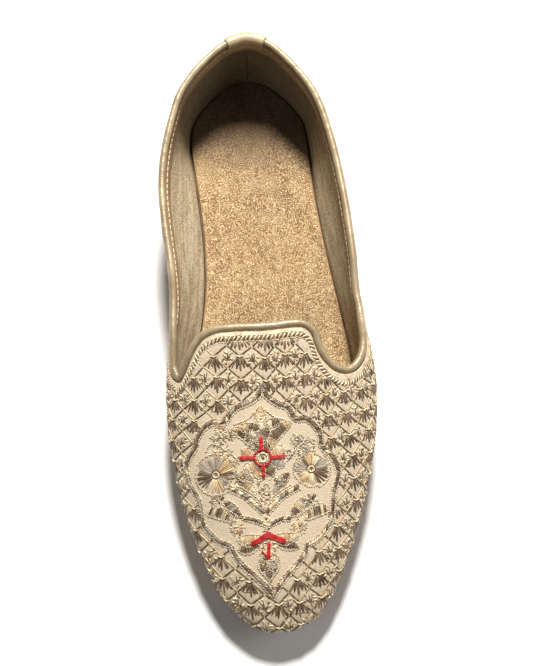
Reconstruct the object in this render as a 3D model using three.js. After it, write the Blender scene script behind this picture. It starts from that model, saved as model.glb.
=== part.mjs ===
// A left mojari: a low slip-on shoe with an embroidered cloth upper, a plush lining, a flat
// leather sole and a low heel. Millimetres, +Z up, toe towards -Y, outer side towards +X.
// A station is a distance along the shoe from the back of the heel, and a rib is a line up
// the last from the sole's edge, over the widest level, to the spine under the instep ridge.

import * as THREE from 'three'
import { mergeVertices } from 'three/addons/utils/BufferGeometryUtils.js'

// Frame: the station and the sideways offset of the middle of the shoe's box.
const middleStation = 145.01
const middleSide = 3.88

// Sole
const outsoleThickness = 4
const outsoleMargin = 1.2
const heelHeight = 8
const heelInset = 0.6
const heelBreast = 62
const treadStart = 158
const treadEnd = 222
const toeStation = 290
const toeSpring = 9
const insoleThickness = 3.5
const fitGap = 0.3
const insoleGap = 0.6
const soleSteps = 66

// Upper
const wall = 2.2
const instepStation = 150
const instepHeight = 61
const instepSlope = 0.3
const instepHollow = 0.00024
const domeFullness = 2.1
const collarReach = 1.05
const columnsPerRow = 2
const wallRows = 18
const normalStep = 0.01

// Collar trim
const pipingRadius = 1.9
const pipingSides = 8
const tabThickness = 0.8
const tabRibs = 1
const tabFoot = 1.9
const tabInside = 7
const tabColumns = 10
const tabArcSteps = 8

function table(columns, rows) {
  return rows.map((row) => Object.fromEntries(columns.map((name, i) => [name, row[i]])))
}

// One row for each pair of ribs, from the back of the heel to the toe. Medial and lateral are
// half widths at the widest level; the foot columns are the same at the sole's edge.
const sections = table(
  ['station', 'medial', 'lateral', 'level', 'footStation', 'footMedial', 'footLateral', 'spine', 'roll'],
  [
    [1.2, 0, 0, 59.2, 2.4, 0, 0, 34, 1.4],
    [4.0, 10.4, 9.8, 58.9, 4.8, 10.2, 9.8, 34, 1.4],
    [9.6, 18.4, 17.0, 58.3, 10.2, 18.0, 16.8, 34.5, 1.4],
    [18, 27.0, 24.4, 57.4, 18.3, 26.2, 24.2, 35.5, 1.4],
    [29, 34.9, 32.1, 55.8, 29, 32.2, 30.4, 38, 1.4],
    [42, 39.6, 37.2, 54.0, 42, 33.4, 32.4, 45, 1.4],
    [58, 43.7, 41.0, 52.0, 58, 31.8, 33.2, 58, 1.4],
    [76, 45.7, 44.0, 50.4, 76, 29.9, 34.8, 76, 1.4],
    [96, 44.8, 46.2, 49.3, 96, 28.6, 37.6, 96, 1.4],
    [116, 42.8, 47.6, 48.2, 116, 28.8, 41.0, 116, 1.5],
    [134, 42.2, 48.2, 45.5, 134, 31.0, 44.2, 134, 1.6],
    [150, 43.6, 50.6, 41.0, 150, 35.0, 46.8, 150, 1.8],
    [165, 45.3, 53.2, 36.0, 165, 38.8, 48.2, 165, 1.9],
    [180, 46.4, 54.4, 31.0, 180, 41.0, 48.8, 180, 2],
    [198, 46.0, 53.0, 27.0, 198, 40.8, 47.6, 198, 2],
    [216, 43.4, 49.6, 24.0, 216, 38.4, 44.2, 216, 2],
    [233, 39.8, 44.8, 21.8, 233, 35.2, 39.4, 232, 2],
    [248, 35.2, 39.6, 20.0, 248, 31.0, 35.0, 243, 2],
    [262, 29.8, 34.0, 18.5, 261.5, 25.4, 29.4, 249, 2],
    [274, 23.4, 27.8, 17.2, 272.5, 19.4, 23.6, 252, 2],
    [283.5, 15.2, 20.6, 16.4, 281, 12.4, 17.2, 253.5, 2],
    [289, 6.4, 11.4, 16.0, 285.8, 5.4, 9.6, 254, 2],
    [290.8, -2, 2, 16.0, 287.4, -2, 2, 254, 2],
  ],
)

// The throat's edge on each side, from the quarter down into the side dip, up the tongue's
// side and to its middle. Rib names the rib at the sole that each point is joined to.
const lateralThroat = table(['rib', 'x', 'station'], [
  [10.9, 50.2, 149],
  [11.6, 50.9, 157.5],
  [12.4, 50.2, 164.2],
  [13.3, 48.0, 169.4],
  [14.3, 44.4, 173.4],
  [15.3, 39.8, 175.2],
  [16.6, 34.6, 174.4],
  [18.3, 30.0, 171.0],
  [19.6, 26.7, 166.4],
  [20.4, 24.8, 161.6],
  [20.9, 23.2, 157.2],
  [21.3, 19.8, 154.7],
  [21.55, 14.4, 154.5],
  [21.8, 7.4, 155.2],
  [22.0, 0, 155.5],
])
const medialThroat = table(['rib', 'x', 'station'], [
  [11.0, -43.4, 151],
  [11.9, -44.0, 160],
  [12.9, -44.0, 167.4],
  [14.1, -42.4, 172.8],
  [15.5, -39.4, 174.6],
  [17.3, -36.3, 170.6],
  [18.4, -33.5, 165.2],
  [19.1, -30.6, 160.6],
  [19.8, -27.0, 157.2],
  [20.6, -21.8, 155.3],
  [21.2, -15.0, 155.1],
  [21.65, -7.6, 155.3],
])

const toeRow = sections.length - 1
const ribCount = 2 * toeRow
const quarterRows = 10

function along(station) {
  return middleStation - station
}

function stationOf(y) {
  return middleStation - y
}

// The height of the outsole's underside: level heel seat, arch, level tread, toe spring.
function soleRise(station) {
  const arch = THREE.MathUtils.smoothstep(station, heelBreast, treadStart)
  const spring = Math.max(0, station - treadEnd) / (toeStation - treadEnd)
  return heelHeight * (1 - arch) + toeSpring * spring ** 2
}

function hemHeight(station) {
  return soleRise(station) + outsoleThickness + fitGap
}

function ridgeHeight(station) {
  const ahead = station - instepStation
  return instepHeight - instepSlope * ahead + instepHollow * ahead ** 2
}

// The ribs are numbered round the shoe: heel 0, lateral side, toe, medial side.
function ribCurve(pointOf) {
  const points = []
  for (let i = 0; i < ribCount; i += 1) {
    const side = i <= toeRow ? 1 : -1
    points.push(pointOf(sections[Math.min(i, ribCount - i)], side))
  }
  return new THREE.CatmullRomCurve3(points, true, 'catmullrom', 0.5)
}

const widestCurve = ribCurve((row, side) => {
  const half = side > 0 ? row.lateral : -row.medial
  return new THREE.Vector3(half - middleSide, along(row.station), row.level)
})
const footCurve = ribCurve((row, side) => {
  const half = side > 0 ? row.footLateral : -row.footMedial
  return new THREE.Vector3(half - middleSide, along(row.footStation), 0)
})
const spineCurve = ribCurve((row) => new THREE.Vector3(-middleSide, along(row.spine), row.roll))

function rib(number) {
  const t = number / ribCount
  return { widest: widestCurve.getPoint(t), foot: footCurve.getPoint(t), spine: spineCurve.getPoint(t) }
}

// The direction in plan that points out of a rib curve.
function outward(curve, number) {
  const tangent = curve.getTangent(THREE.MathUtils.euclideanModulo(number / ribCount, 1))
  return new THREE.Vector3(-tangent.y, tangent.x, 0).normalize()
}

// A point on the last's outer surface. Reach is 0 on the spine, 1 at the widest level and 2
// at the sole's edge.
function place(number, reach) {
  const { widest, foot, spine } = rib(number)
  if (reach <= 1) {
    const across = Math.sin(Math.max(reach, 0) * Math.PI / 2)
    const point = new THREE.Vector3().lerpVectors(spine, widest, across)
    const rise = (1 - across ** domeFullness) ** (1 / domeFullness)
    point.z = widest.z + (ridgeHeight(stationOf(point.y)) - widest.z) * rise
    return point
  }
  const up = 2 - reach
  const hem = hemHeight(stationOf(foot.y))
  const point = new THREE.Vector3().lerpVectors(foot, widest, 1 - (1 - up) ** spine.z)
  point.z = hem + (widest.z - hem) * up
  return point
}

// The rib that passes over a point of the plan, and how far along it the point lies.
const scanned = Array.from({ length: ribCount + 1 }, (_, i) => rib(i))

function turnOf({ widest, spine }, x, y) {
  return (widest.x - spine.x) * (y - spine.y) - (widest.y - spine.y) * (x - spine.x)
}

function reachOf({ widest, spine }, x, y) {
  const line = new THREE.Vector2(widest.x - spine.x, widest.y - spine.y)
  return line.dot(new THREE.Vector2(x - spine.x, y - spine.y)) / line.lengthSq()
}

function findRib(x, y) {
  for (let i = 0; i < ribCount; i += 1) {
    const crossed = turnOf(scanned[i], x, y) <= 0 && turnOf(scanned[i + 1], x, y) > 0
    if (!crossed || reachOf(scanned[i], x, y) < 0) {
      continue
    }
    let low = i
    let high = i + 1
    for (let step = 0; step < 30; step += 1) {
      const middle = (low + high) / 2
      if (turnOf(rib(middle), x, y) <= 0) {
        low = middle
      } else {
        high = middle
      }
    }
    return { number: low, reach: reachOf(rib(low), x, y) }
  }
  throw new Error(`no rib passes over ${x}, ${y}`)
}

// The pattern plan stretches each rib straight, so that reach is the distance from the spine
// in units of the half width. The upper is a ring in it, from the collar's edge to the hem.
function patternPoint(number, reach) {
  const { widest, spine } = rib(number)
  return new THREE.Vector3(
    spine.x + (widest.x - spine.x) * reach,
    spine.y + (widest.y - spine.y) * reach,
    0,
  )
}

function throatPoint({ x, station }) {
  const found = findRib(x - middleSide, along(station))
  return patternPoint(found.number, Math.asin(Math.min(found.reach, 1)) * 2 / Math.PI)
}

function collarAndHem() {
  const collar = []
  const hem = []
  for (let i = 0; i <= quarterRows; i += 1) {
    collar.push(patternPoint(i, collarReach))
    hem.push(patternPoint(i, 2))
  }
  for (const row of lateralThroat) {
    collar.push(throatPoint(row))
    hem.push(patternPoint(row.rib, 2))
  }
  for (const row of medialThroat.toReversed()) {
    collar.push(throatPoint(row))
    hem.push(patternPoint(ribCount - row.rib, 2))
  }
  for (let i = quarterRows; i > 0; i -= 1) {
    collar.push(patternPoint(ribCount - i, collarReach))
    hem.push(patternPoint(ribCount - i, 2))
  }
  return {
    columns: collar.length * columnsPerRow,
    collar: new THREE.CatmullRomCurve3(collar, true),
    hem: new THREE.CatmullRomCurve3(hem, true),
  }
}

// A closed solid between two grids of points. A looped grid joins its last column to its first.
function solidBetween(inner, outer, looped) {
  const rows = inner.length
  const columns = inner[0].length
  const positions = [...inner.flat(), ...outer.flat()].flatMap((point) => point.toArray())
  const index = []
  const vertex = (layer, row, column) => (layer * rows + row) * columns + column % columns
  const quad = (a, b, c, d) => index.push(a, b, c, a, c, d)
  const spans = looped ? columns : columns - 1
  for (let c = 0; c < spans; c += 1) {
    for (let r = 0; r < rows - 1; r += 1) {
      quad(vertex(0, r, c), vertex(0, r + 1, c), vertex(0, r + 1, c + 1), vertex(0, r, c + 1))
      quad(vertex(1, r, c), vertex(1, r, c + 1), vertex(1, r + 1, c + 1), vertex(1, r + 1, c))
    }
    quad(vertex(0, 0, c), vertex(0, 0, c + 1), vertex(1, 0, c + 1), vertex(1, 0, c))
    const last = rows - 1
    quad(vertex(0, last, c), vertex(1, last, c), vertex(1, last, c + 1), vertex(0, last, c + 1))
  }
  if (!looped) {
    for (let r = 0; r < rows - 1; r += 1) {
      const end = columns - 1
      quad(vertex(0, r, 0), vertex(1, r, 0), vertex(1, r + 1, 0), vertex(0, r + 1, 0))
      quad(vertex(0, r, end), vertex(0, r + 1, end), vertex(1, r + 1, end), vertex(1, r, end))
    }
  }
  return withoutSlivers(positions, index)
}

// Rows that shrink to a point leave triangles with two corners alike, which are dropped.
function withoutSlivers(positions, index) {
  const geometry = new THREE.BufferGeometry()
  geometry.setAttribute('position', new THREE.Float32BufferAttribute(positions, 3))
  geometry.setIndex(index)
  const merged = mergeVertices(geometry, 1e-3)
  const corners = merged.index.array
  const kept = []
  for (let i = 0; i < corners.length; i += 3) {
    const [a, b, c] = [corners[i], corners[i + 1], corners[i + 2]]
    if (a !== b && b !== c && c !== a) {
      kept.push(a, b, c)
    }
  }
  merged.setIndex(kept)
  merged.computeVertexNormals()
  return merged
}

// The direction that points straight out of the last's surface.
function normalAt(number, reach) {
  const round = place(number + normalStep, reach).sub(place(number - normalStep, reach))
  const down = place(number, reach + normalStep).sub(place(number, reach - normalStep))
  return round.cross(down).normalize()
}

// The upper's outer grid from the collar to the hem, its normals, and its inner grid one wall
// inside. The inner hem stands level beside the outer one.
function upperGrids() {
  const { columns, collar, hem } = collarAndHem()
  const grid = () => Array.from({ length: wallRows + 1 }, () => [])
  const [outer, normals, inner] = [grid(), grid(), grid()]
  for (let c = 0; c < columns; c += 1) {
    const edge = collar.getPoint(c / columns)
    const foot = hem.getPoint(c / columns)
    for (let r = 0; r <= wallRows; r += 1) {
      const at = new THREE.Vector3().lerpVectors(edge, foot, r / wallRows)
      const found = findRib(at.x, at.y)
      const isHem = r === wallRows
      const point = place(found.number, isHem ? 2 : found.reach)
      const normal = normalAt(found.number, isHem ? 2 - normalStep : found.reach)
      outer[r].push(point)
      normals[r].push(normal)
      inner[r].push(isHem
        ? footPoint(found.number, -wall, hemHeight)
        : point.clone().addScaledVector(normal, -wall))
    }
  }
  return { outer, normals, inner }
}

// A point beside the sole's edge, on a level that depends on its station.
function footPoint(number, margin, heightOf) {
  const point = footCurve.getPoint(THREE.MathUtils.euclideanModulo(number / ribCount, 1))
  point.addScaledVector(outward(footCurve, number), margin)
  point.z = heightOf(stationOf(point.y))
  return point
}

// A layer of the bottom, ruled straight across from the medial edge to the lateral edge.
function soleLayer(margin, bottomOf, topOf, lastRow) {
  const layer = (heightOf) => {
    const rows = []
    for (let step = 0; step <= soleSteps; step += 1) {
      const number = step / soleSteps * lastRow
      rows.push([
        footPoint(ribCount - number, margin, heightOf),
        footPoint(number, margin, heightOf),
      ])
    }
    return rows
  }
  return solidBetween(layer(topOf), layer(bottomOf), false)
}

function rowAtStation(station) {
  let row = 0
  while (footCurve.getPoint(row / ribCount).y > along(station)) {
    row += 0.01
  }
  return row
}

// Piping: a round leather cord lying along the collar's edge. Each half of its skin runs from
// the line that faces the edge to the line that faces away from it.
function pipingGeometry({ outer, normals }) {
  const edge = outer[0]
  const half = (sign) => Array.from({ length: pipingSides / 2 + 1 }, (_, step) => {
    const angle = step / pipingSides * 2 * Math.PI
    return edge.map((point, c) => {
      const round = edge[(c + 1) % edge.length].clone().sub(edge.at(c - 1)).normalize()
      const away = round.clone().cross(normals[0][c]).normalize()
      const middle = point.clone().addScaledVector(normals[0][c], -wall / 2)
      middle.addScaledVector(away, pipingRadius * (1 - Math.cos(angle)) + fitGap)
      return middle.addScaledVector(round.cross(away), Math.sin(angle) * sign * pipingRadius)
    })
  })
  return solidBetween(half(-1), half(1), true)
}

// Heel tab: a strip of leather up the back seam, over the piping and down inside.
function tabSection(number, spread) {
  const across = outward(widestCurve, number)
  const edge = place(number, collarReach)
  const middle = edge.clone().addScaledVector(across, -wall / 2)
  middle.z += pipingRadius + fitGap
  const side = wall / 2 + fitGap + spread
  const crown = pipingRadius + fitGap + spread
  const foot = place(number, tabFoot).addScaledVector(across, fitGap + spread)
  const waist = place(number, (tabFoot + collarReach) / 2).addScaledVector(across, fitGap + spread)
  const points = [foot, waist, edge.clone().addScaledVector(across, fitGap + spread)]
  for (let step = 0; step <= tabArcSteps; step += 1) {
    const angle = step / tabArcSteps * Math.PI
    const point = middle.clone().addScaledVector(across, Math.cos(angle) * crown)
    point.z += Math.sin(angle) * crown
    points.push(point)
  }
  for (const drop of [pipingRadius + fitGap, tabInside]) {
    const point = middle.clone().addScaledVector(across, -side)
    point.z -= drop
    points.push(point)
  }
  return points
}

function tabGeometry() {
  const grid = (spread) => {
    const columns = []
    for (let c = 0; c <= tabColumns; c += 1) {
      columns.push(tabSection((c / tabColumns * 2 - 1) * tabRibs, spread))
    }
    return columns
  }
  return solidBetween(grid(0), grid(tabThickness), false)
}

function piece(name, geometry, color, roughness, metalness) {
  const material = new THREE.MeshStandardMaterial({ color, roughness, metalness })
  const mesh = new THREE.Mesh(geometry, material)
  mesh.name = name
  return mesh
}

const outsoleTop = (station) => soleRise(station) + outsoleThickness
const insoleTop = (station) => hemHeight(station) + insoleThickness
const liftTop = () => heelHeight - fitGap
const grids = upperGrids()

const shoe = new THREE.Group()
shoe.add(piece('outsole', soleLayer(outsoleMargin, soleRise, outsoleTop, toeRow), '#9a7248', 0.7, 0))
shoe.add(piece(
  'heel_lift',
  soleLayer(outsoleMargin - heelInset, () => 0, liftTop, rowAtStation(heelBreast)),
  '#6d4c30', 0.75, 0,
))
shoe.add(piece('insole', soleLayer(-wall - insoleGap, hemHeight, insoleTop, toeRow), '#c9a274', 0.9, 0))
shoe.add(piece('upper', solidBetween(grids.inner, grids.outer, true), '#d8c7a6', 0.8, 0))
shoe.add(piece('piping', pipingGeometry(grids), '#c2a680', 0.4, 0.5))
shoe.add(piece('heel_tab', tabGeometry(), '#c2a680', 0.4, 0.5))

export default shoe
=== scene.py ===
# %% [markdown]
# # A left mojari
# A mojari is a slip-on shoe: a thin leather sole with a low heel, a cloth upper that is worked all
# over with metallic thread before it is pulled over the last, and a gold leather piping round the
# collar. The frame gives the sole, the upper's form and the trim at their real size. This script
# keeps that form, makes it finer, and adds what a hand feels: cloth, thread, pile and stitching.

# %% The frame
import math
import random
import bmesh
import bpy
import numpy as np
from mathutils import Matrix, Vector
from mathutils.bvhtree import BVHTree


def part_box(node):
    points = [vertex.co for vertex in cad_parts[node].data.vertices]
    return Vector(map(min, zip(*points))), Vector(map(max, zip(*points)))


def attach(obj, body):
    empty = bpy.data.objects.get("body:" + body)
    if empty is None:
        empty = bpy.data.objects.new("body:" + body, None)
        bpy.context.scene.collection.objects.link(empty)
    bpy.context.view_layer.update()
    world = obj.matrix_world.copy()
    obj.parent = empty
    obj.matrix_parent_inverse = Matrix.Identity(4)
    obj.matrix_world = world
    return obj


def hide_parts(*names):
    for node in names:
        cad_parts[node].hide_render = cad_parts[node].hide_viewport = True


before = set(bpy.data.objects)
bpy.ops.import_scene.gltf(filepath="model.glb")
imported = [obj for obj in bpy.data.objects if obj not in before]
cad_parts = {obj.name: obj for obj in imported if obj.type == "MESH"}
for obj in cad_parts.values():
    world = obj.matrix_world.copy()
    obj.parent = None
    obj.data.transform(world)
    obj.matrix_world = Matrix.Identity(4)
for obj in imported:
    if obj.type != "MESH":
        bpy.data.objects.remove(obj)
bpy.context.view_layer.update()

MM = 0.001

# %% [markdown]
# ## Camera, floor and light
# The camera looks down on the shoe from beyond the toe, so that the whole vamp and the inside of
# the heel show. The main light stands behind the heel, as a window would: it throws the back wall's
# shadow on the insole and puts a bright line on the piping. Two broad weak fills keep the shadows open.

# %% Camera
LOOK_AT = Vector((-0.76, 0.14, 20)) * MM
DISTANCE = 700 * MM
ELEVATION, AZIMUTH, ROLL = math.radians(73.54), math.radians(-2.43), math.radians(-0.45)
FOCAL_LENGTH, SENSOR_WIDTH = 76, 36


def make_camera():
    data = bpy.data.cameras.new("camera")
    data.lens, data.sensor_width = FOCAL_LENGTH, SENSOR_WIDTH
    camera = bpy.data.objects.new("camera", data)
    bpy.context.collection.objects.link(camera)
    back = Vector((
        math.sin(AZIMUTH) * math.cos(ELEVATION),
        -math.cos(AZIMUTH) * math.cos(ELEVATION),
        math.sin(ELEVATION),
    ))
    turn = (-back).to_track_quat("-Z", "Y").to_matrix() @ Matrix.Rotation(ROLL, 3, "Z")
    camera.matrix_world = Matrix.Translation(LOOK_AT + back * DISTANCE) @ turn.to_4x4()
    bpy.context.scene.camera = camera
    return camera


camera = make_camera()
print("camera at", [round(v, 3) for v in camera.matrix_world.translation])

# %% [markdown]
# The floor is one pale sheet a hair below the sole, so that the two never lie in the same plane.
# One small warm lamp behind the heel draws the sheen along the piping and shades the heel pocket.
# Two wide weak lamps keep the near sides from going black. Places and sizes here are in metres.

# %% Floor and lights
FLOOR_REACH, FLOOR_GAP, FLOOR_PAPER = 4.0, 0.0001, (0.86, 0.86, 0.85, 1)
SKY_COLOUR, SKY_STRENGTH = (1.0, 0.99, 0.97, 1), 0.07


def area_light(name, place, size, watts, colour):
    data = bpy.data.lights.new(name, "AREA")
    data.shape, data.size, data.energy, data.color = "DISK", size, watts, colour
    light = bpy.data.objects.new(name, data)
    bpy.context.collection.objects.link(light)
    light.location = place
    light.rotation_mode = "QUATERNION"
    light.rotation_quaternion = (LOOK_AT - light.location).to_track_quat("-Z", "Y")
    return light


def make_floor():
    mesh = bpy.data.meshes.new("floor")
    corners = [
        (x * FLOOR_REACH, y * FLOOR_REACH, -FLOOR_GAP) for x, y in ((-1, -1), (1, -1), (1, 1), (-1, 1))
    ]
    mesh.from_pydata(corners, [], [(0, 1, 2, 3)])
    floor = bpy.data.objects.new("floor", mesh)
    bpy.context.collection.objects.link(floor)
    material = bpy.data.materials.new("floor_paper")
    material.use_nodes = True
    shader = material.node_tree.nodes["Principled BSDF"]
    shader.inputs["Base Color"].default_value = FLOOR_PAPER
    shader.inputs["Roughness"].default_value = 0.9
    mesh.materials.append(material)


make_floor()
area_light("window", (0.07, 0.76, 1.12), 0.24, 37, (1.0, 0.975, 0.93))
area_light("fill_right", (1.1, 0.0, 0.8), 0.9, 4.5, (1.0, 0.98, 0.95))
area_light("fill_front", (-0.8, -0.6, 1.2), 1.0, 2.0, (1.0, 0.99, 0.97))
world = bpy.data.worlds.new("studio")
world.use_nodes = True
sky = world.node_tree.nodes["Background"].inputs
sky["Color"].default_value, sky["Strength"].default_value = SKY_COLOUR, SKY_STRENGTH
bpy.context.scene.world = world
bpy.context.scene.view_settings.view_transform = "Standard"
print("one window light, two fills and a pale floor")

# %% [markdown]
# ## The last
# A shoemaker pulls the upper over a last. Ours is described by ribs: each rib climbs from the sole's
# edge, over the widest level, to the spine under the instep ridge. One table row gives a pair of
# ribs, medial and lateral, and smooth closed curves run through the rows. These are the same
# sections as the frame's solids have, so that every surface made here lies on them.

# %% Sections, in millimetres
MIDDLE_STATION, MIDDLE_SIDE = 145.01, 3.88
OUTSOLE, OUTSOLE_MARGIN, HEEL_HEIGHT, HEEL_BREAST = 4, 1.2, 8, 62
TREAD_START, TREAD_END, TOE_STATION, TOE_SPRING = 158, 222, 290, 9
INSOLE, FIT_GAP, WALL, PIPING_RADIUS = 3.5, 0.3, 2.2, 1.9
INSTEP_STATION, INSTEP_HEIGHT, INSTEP_SLOPE, INSTEP_HOLLOW = 150, 61, 0.3, 0.00024
DOME_FULLNESS, COLLAR_REACH, QUARTER_ROWS = 2.1, 1.05, 10

# station, medial, lateral, level, foot station, foot medial, foot lateral, spine, roll
SECTIONS = np.array([
    (1.2, 0, 0, 59.2, 2.4, 0, 0, 34, 1.4),
    (4.0, 10.4, 9.8, 58.9, 4.8, 10.2, 9.8, 34, 1.4),
    (9.6, 18.4, 17.0, 58.3, 10.2, 18.0, 16.8, 34.5, 1.4),
    (18, 27.0, 24.4, 57.4, 18.3, 26.2, 24.2, 35.5, 1.4),
    (29, 34.9, 32.1, 55.8, 29, 32.2, 30.4, 38, 1.4),
    (42, 39.6, 37.2, 54.0, 42, 33.4, 32.4, 45, 1.4),
    (58, 43.7, 41.0, 52.0, 58, 31.8, 33.2, 58, 1.4),
    (76, 45.7, 44.0, 50.4, 76, 29.9, 34.8, 76, 1.4),
    (96, 44.8, 46.2, 49.3, 96, 28.6, 37.6, 96, 1.4),
    (116, 42.8, 47.6, 48.2, 116, 28.8, 41.0, 116, 1.5),
    (134, 42.2, 48.2, 45.5, 134, 31.0, 44.2, 134, 1.6),
    (150, 43.6, 50.6, 41.0, 150, 35.0, 46.8, 150, 1.8),
    (165, 45.3, 53.2, 36.0, 165, 38.8, 48.2, 165, 1.9),
    (180, 46.4, 54.4, 31.0, 180, 41.0, 48.8, 180, 2),
    (198, 46.0, 53.0, 27.0, 198, 40.8, 47.6, 198, 2),
    (216, 43.4, 49.6, 24.0, 216, 38.4, 44.2, 216, 2),
    (233, 39.8, 44.8, 21.8, 233, 35.2, 39.4, 232, 2),
    (248, 35.2, 39.6, 20.0, 248, 31.0, 35.0, 243, 2),
    (262, 29.8, 34.0, 18.5, 261.5, 25.4, 29.4, 249, 2),
    (274, 23.4, 27.8, 17.2, 272.5, 19.4, 23.6, 252, 2),
    (283.5, 15.2, 20.6, 16.4, 281, 12.4, 17.2, 253.5, 2),
    (289, 6.4, 11.4, 16.0, 285.8, 5.4, 9.6, 254, 2),
    (290.8, -2, 2, 16.0, 287.4, -2, 2, 254, 2),
])
TOE_ROW = len(SECTIONS) - 1
RIBS = 2 * TOE_ROW
SLOPE_STEP = 0.01

# rib at the sole, sideways place, station: the throat's edge from the quarter to the tongue
LATERAL_THROAT = [
    (10.9, 50.2, 149), (11.6, 50.9, 157.5), (12.4, 50.2, 164.2), (13.3, 48.0, 169.4),
    (14.3, 44.4, 173.4), (15.3, 39.8, 175.2), (16.6, 34.6, 174.4), (18.3, 30.0, 171.0),
    (19.6, 26.7, 166.4), (20.4, 24.8, 161.6), (20.9, 23.2, 157.2), (21.3, 19.8, 154.7),
    (21.55, 14.4, 154.5), (21.8, 7.4, 155.2), (22.0, 0, 155.5),
]
MEDIAL_THROAT = [
    (11.0, -43.4, 151), (11.9, -44.0, 160), (12.9, -44.0, 167.4), (14.1, -42.4, 172.8),
    (15.5, -39.4, 174.6), (17.3, -36.3, 170.6), (18.4, -33.5, 165.2), (19.1, -30.6, 160.6),
    (19.8, -27.0, 157.2), (20.6, -21.8, 155.3), (21.2, -15.0, 155.1), (21.65, -7.6, 155.3),
]
print(RIBS, "ribs round the last")

# %% [markdown]
# The sole's underside lies level on the heel, drops through the arch to the tread and lifts a
# little under the toe. The hem and the instep's ridge are heights by distance along the shoe too.

# %% Heights along the shoe


def along(station):
    return MIDDLE_STATION - station


def sole_rise(station):
    """The outsole's underside: level heel seat, arch, level tread and toe spring."""
    part = np.clip((station - HEEL_BREAST) / (TREAD_START - HEEL_BREAST), 0, 1)
    spring = np.maximum(0, station - TREAD_END) / (TOE_STATION - TREAD_END)
    return HEEL_HEIGHT * (1 - part * part * (3 - 2 * part)) + TOE_SPRING * spring ** 2


def hem_height(station):
    return sole_rise(station) + OUTSOLE + FIT_GAP


def ridge_height(station):
    ahead = station - INSTEP_STATION
    return INSTEP_HEIGHT - INSTEP_SLOPE * ahead + INSTEP_HOLLOW * ahead ** 2


print("hem", hem_height(np.array([0, 150, 200, 285])).round(1), "ridge", ridge_height(np.array([155, 220])))

# %% [markdown]
# A Catmull-Rom curve passes through all of its points, which suits a table of measured places. The
# even kind serves the ribs, because all their columns share one numbering. The centripetal kind
# serves the collar, because it doesn't overshoot where close and distant points meet.

# %% Closed curves


def even_curve(points, number):
    """Closed Catmull-Rom through points, at any array of fractional point numbers."""
    points, count = np.asarray(points, float), len(points)
    whole = np.floor(number).astype(int)
    t = (number - whole)[..., None]
    a, b, c, d = (points[(whole + k) % count] for k in (-1, 0, 1, 2))
    return 0.5 * (2 * b + (c - a) * t + (2 * a - 5 * b + 4 * c - d) * t ** 2 + (3 * (b - c) + d - a) * t ** 3)


def centripetal_curve(points, number):
    points, count = np.asarray(points, float), len(points)
    whole = np.floor(number).astype(int)
    t = (number - whole)[..., None]
    a, b, c, d = (points[(whole + k) % count] for k in (-1, 0, 1, 2))
    before, here, after = (
        np.linalg.norm(end - start, axis=-1, keepdims=True) ** 0.5
        for start, end in ((a, b), (b, c), (c, d))
    )
    leave = ((b - a) / before - (c - a) / (before + here) + (c - b) / here) * here
    arrive = ((c - b) / here - (d - b) / (here + after) + (d - c) / after) * here
    return (
        b + leave * t + (3 * (c - b) - 2 * leave - arrive) * t ** 2
        + (2 * (b - c) + leave + arrive) * t ** 3
    )


def rib_table():
    """One row a rib: widest x, y, level, foot x, y, spine x, y, roll."""
    rows = []
    for i in range(RIBS):
        row = SECTIONS[min(i, RIBS - i)]
        station, medial, lateral, level, f_station, f_medial, f_lateral, spine, roll = row
        wide, foot = (lateral, f_lateral) if i <= TOE_ROW else (-medial, -f_medial)
        rows.append((
            wide - MIDDLE_SIDE, along(station), level, foot - MIDDLE_SIDE, along(f_station),
            -MIDDLE_SIDE, along(spine), roll,
        ))
    return np.array(rows)


RIB_TABLE = rib_table()
print("rib table", RIB_TABLE.shape)

# %% [markdown]
# A place on the last is a rib number and a reach along that rib. The functions here turn such a
# pair into a point, find the ribs over any point of the plan, and set a layer at a depth inside.

# %% Places on the last


def place(number, reach):
    """Outer surface points in mm: reach 0 on the spine, 1 at the widest level, 2 at the hem."""
    row = even_curve(RIB_TABLE, number)
    wide, level, foot, spine, roll = row[..., 0:2], row[..., 2], row[..., 3:5], row[..., 5:7], row[..., 7]
    across = np.sin(np.clip(reach, 0, 1) * math.pi / 2)
    top = spine + (wide - spine) * across[..., None]
    rise = np.maximum(1 - across ** DOME_FULLNESS, 0) ** (1 / DOME_FULLNESS)
    top_z = level + (ridge_height(MIDDLE_STATION - top[..., 1]) - level) * rise
    up = np.clip(2 - reach, 0, 1)
    low = foot + (wide - foot) * (1 - (1 - up) ** roll)[..., None]
    hem = hem_height(MIDDLE_STATION - foot[..., 1])
    low_z = hem + (level - hem) * up
    is_top = reach <= 1
    plan = np.where(is_top[..., None], top, low)
    return np.concatenate([plan, np.where(is_top, top_z, low_z)[..., None]], axis=-1)


def normals_at(number, reach):
    round_ = place(number + SLOPE_STEP, reach) - place(number - SLOPE_STEP, reach)
    down = place(number, reach + SLOPE_STEP) - place(number, reach - SLOPE_STEP)
    normal = np.cross(round_, down)
    return normal / np.linalg.norm(normal, axis=-1, keepdims=True)


def foot_point(number, margin, height_of):
    """A point beside the sole's edge, on a level that depends on its station."""
    foot = even_curve(RIB_TABLE[:, 3:5], number)
    after = even_curve(RIB_TABLE[:, 3:5], number + SLOPE_STEP)
    tangent = after - even_curve(RIB_TABLE[:, 3:5], number - SLOPE_STEP)
    tangent /= np.linalg.norm(tangent, axis=-1, keepdims=True)
    plan = foot + margin * np.stack([-tangent[..., 1], tangent[..., 0]], axis=-1)
    return np.concatenate([plan, height_of(MIDDLE_STATION - plan[..., 1])[..., None]], axis=-1)


SCAN_STEP = 0.25
SCAN = np.arange(0, RIBS + 1e-9, SCAN_STEP)
SCAN_WIDE = even_curve(RIB_TABLE[:, 0:2], SCAN)
SCAN_SPINE = even_curve(RIB_TABLE[:, 5:7], SCAN)


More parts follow.
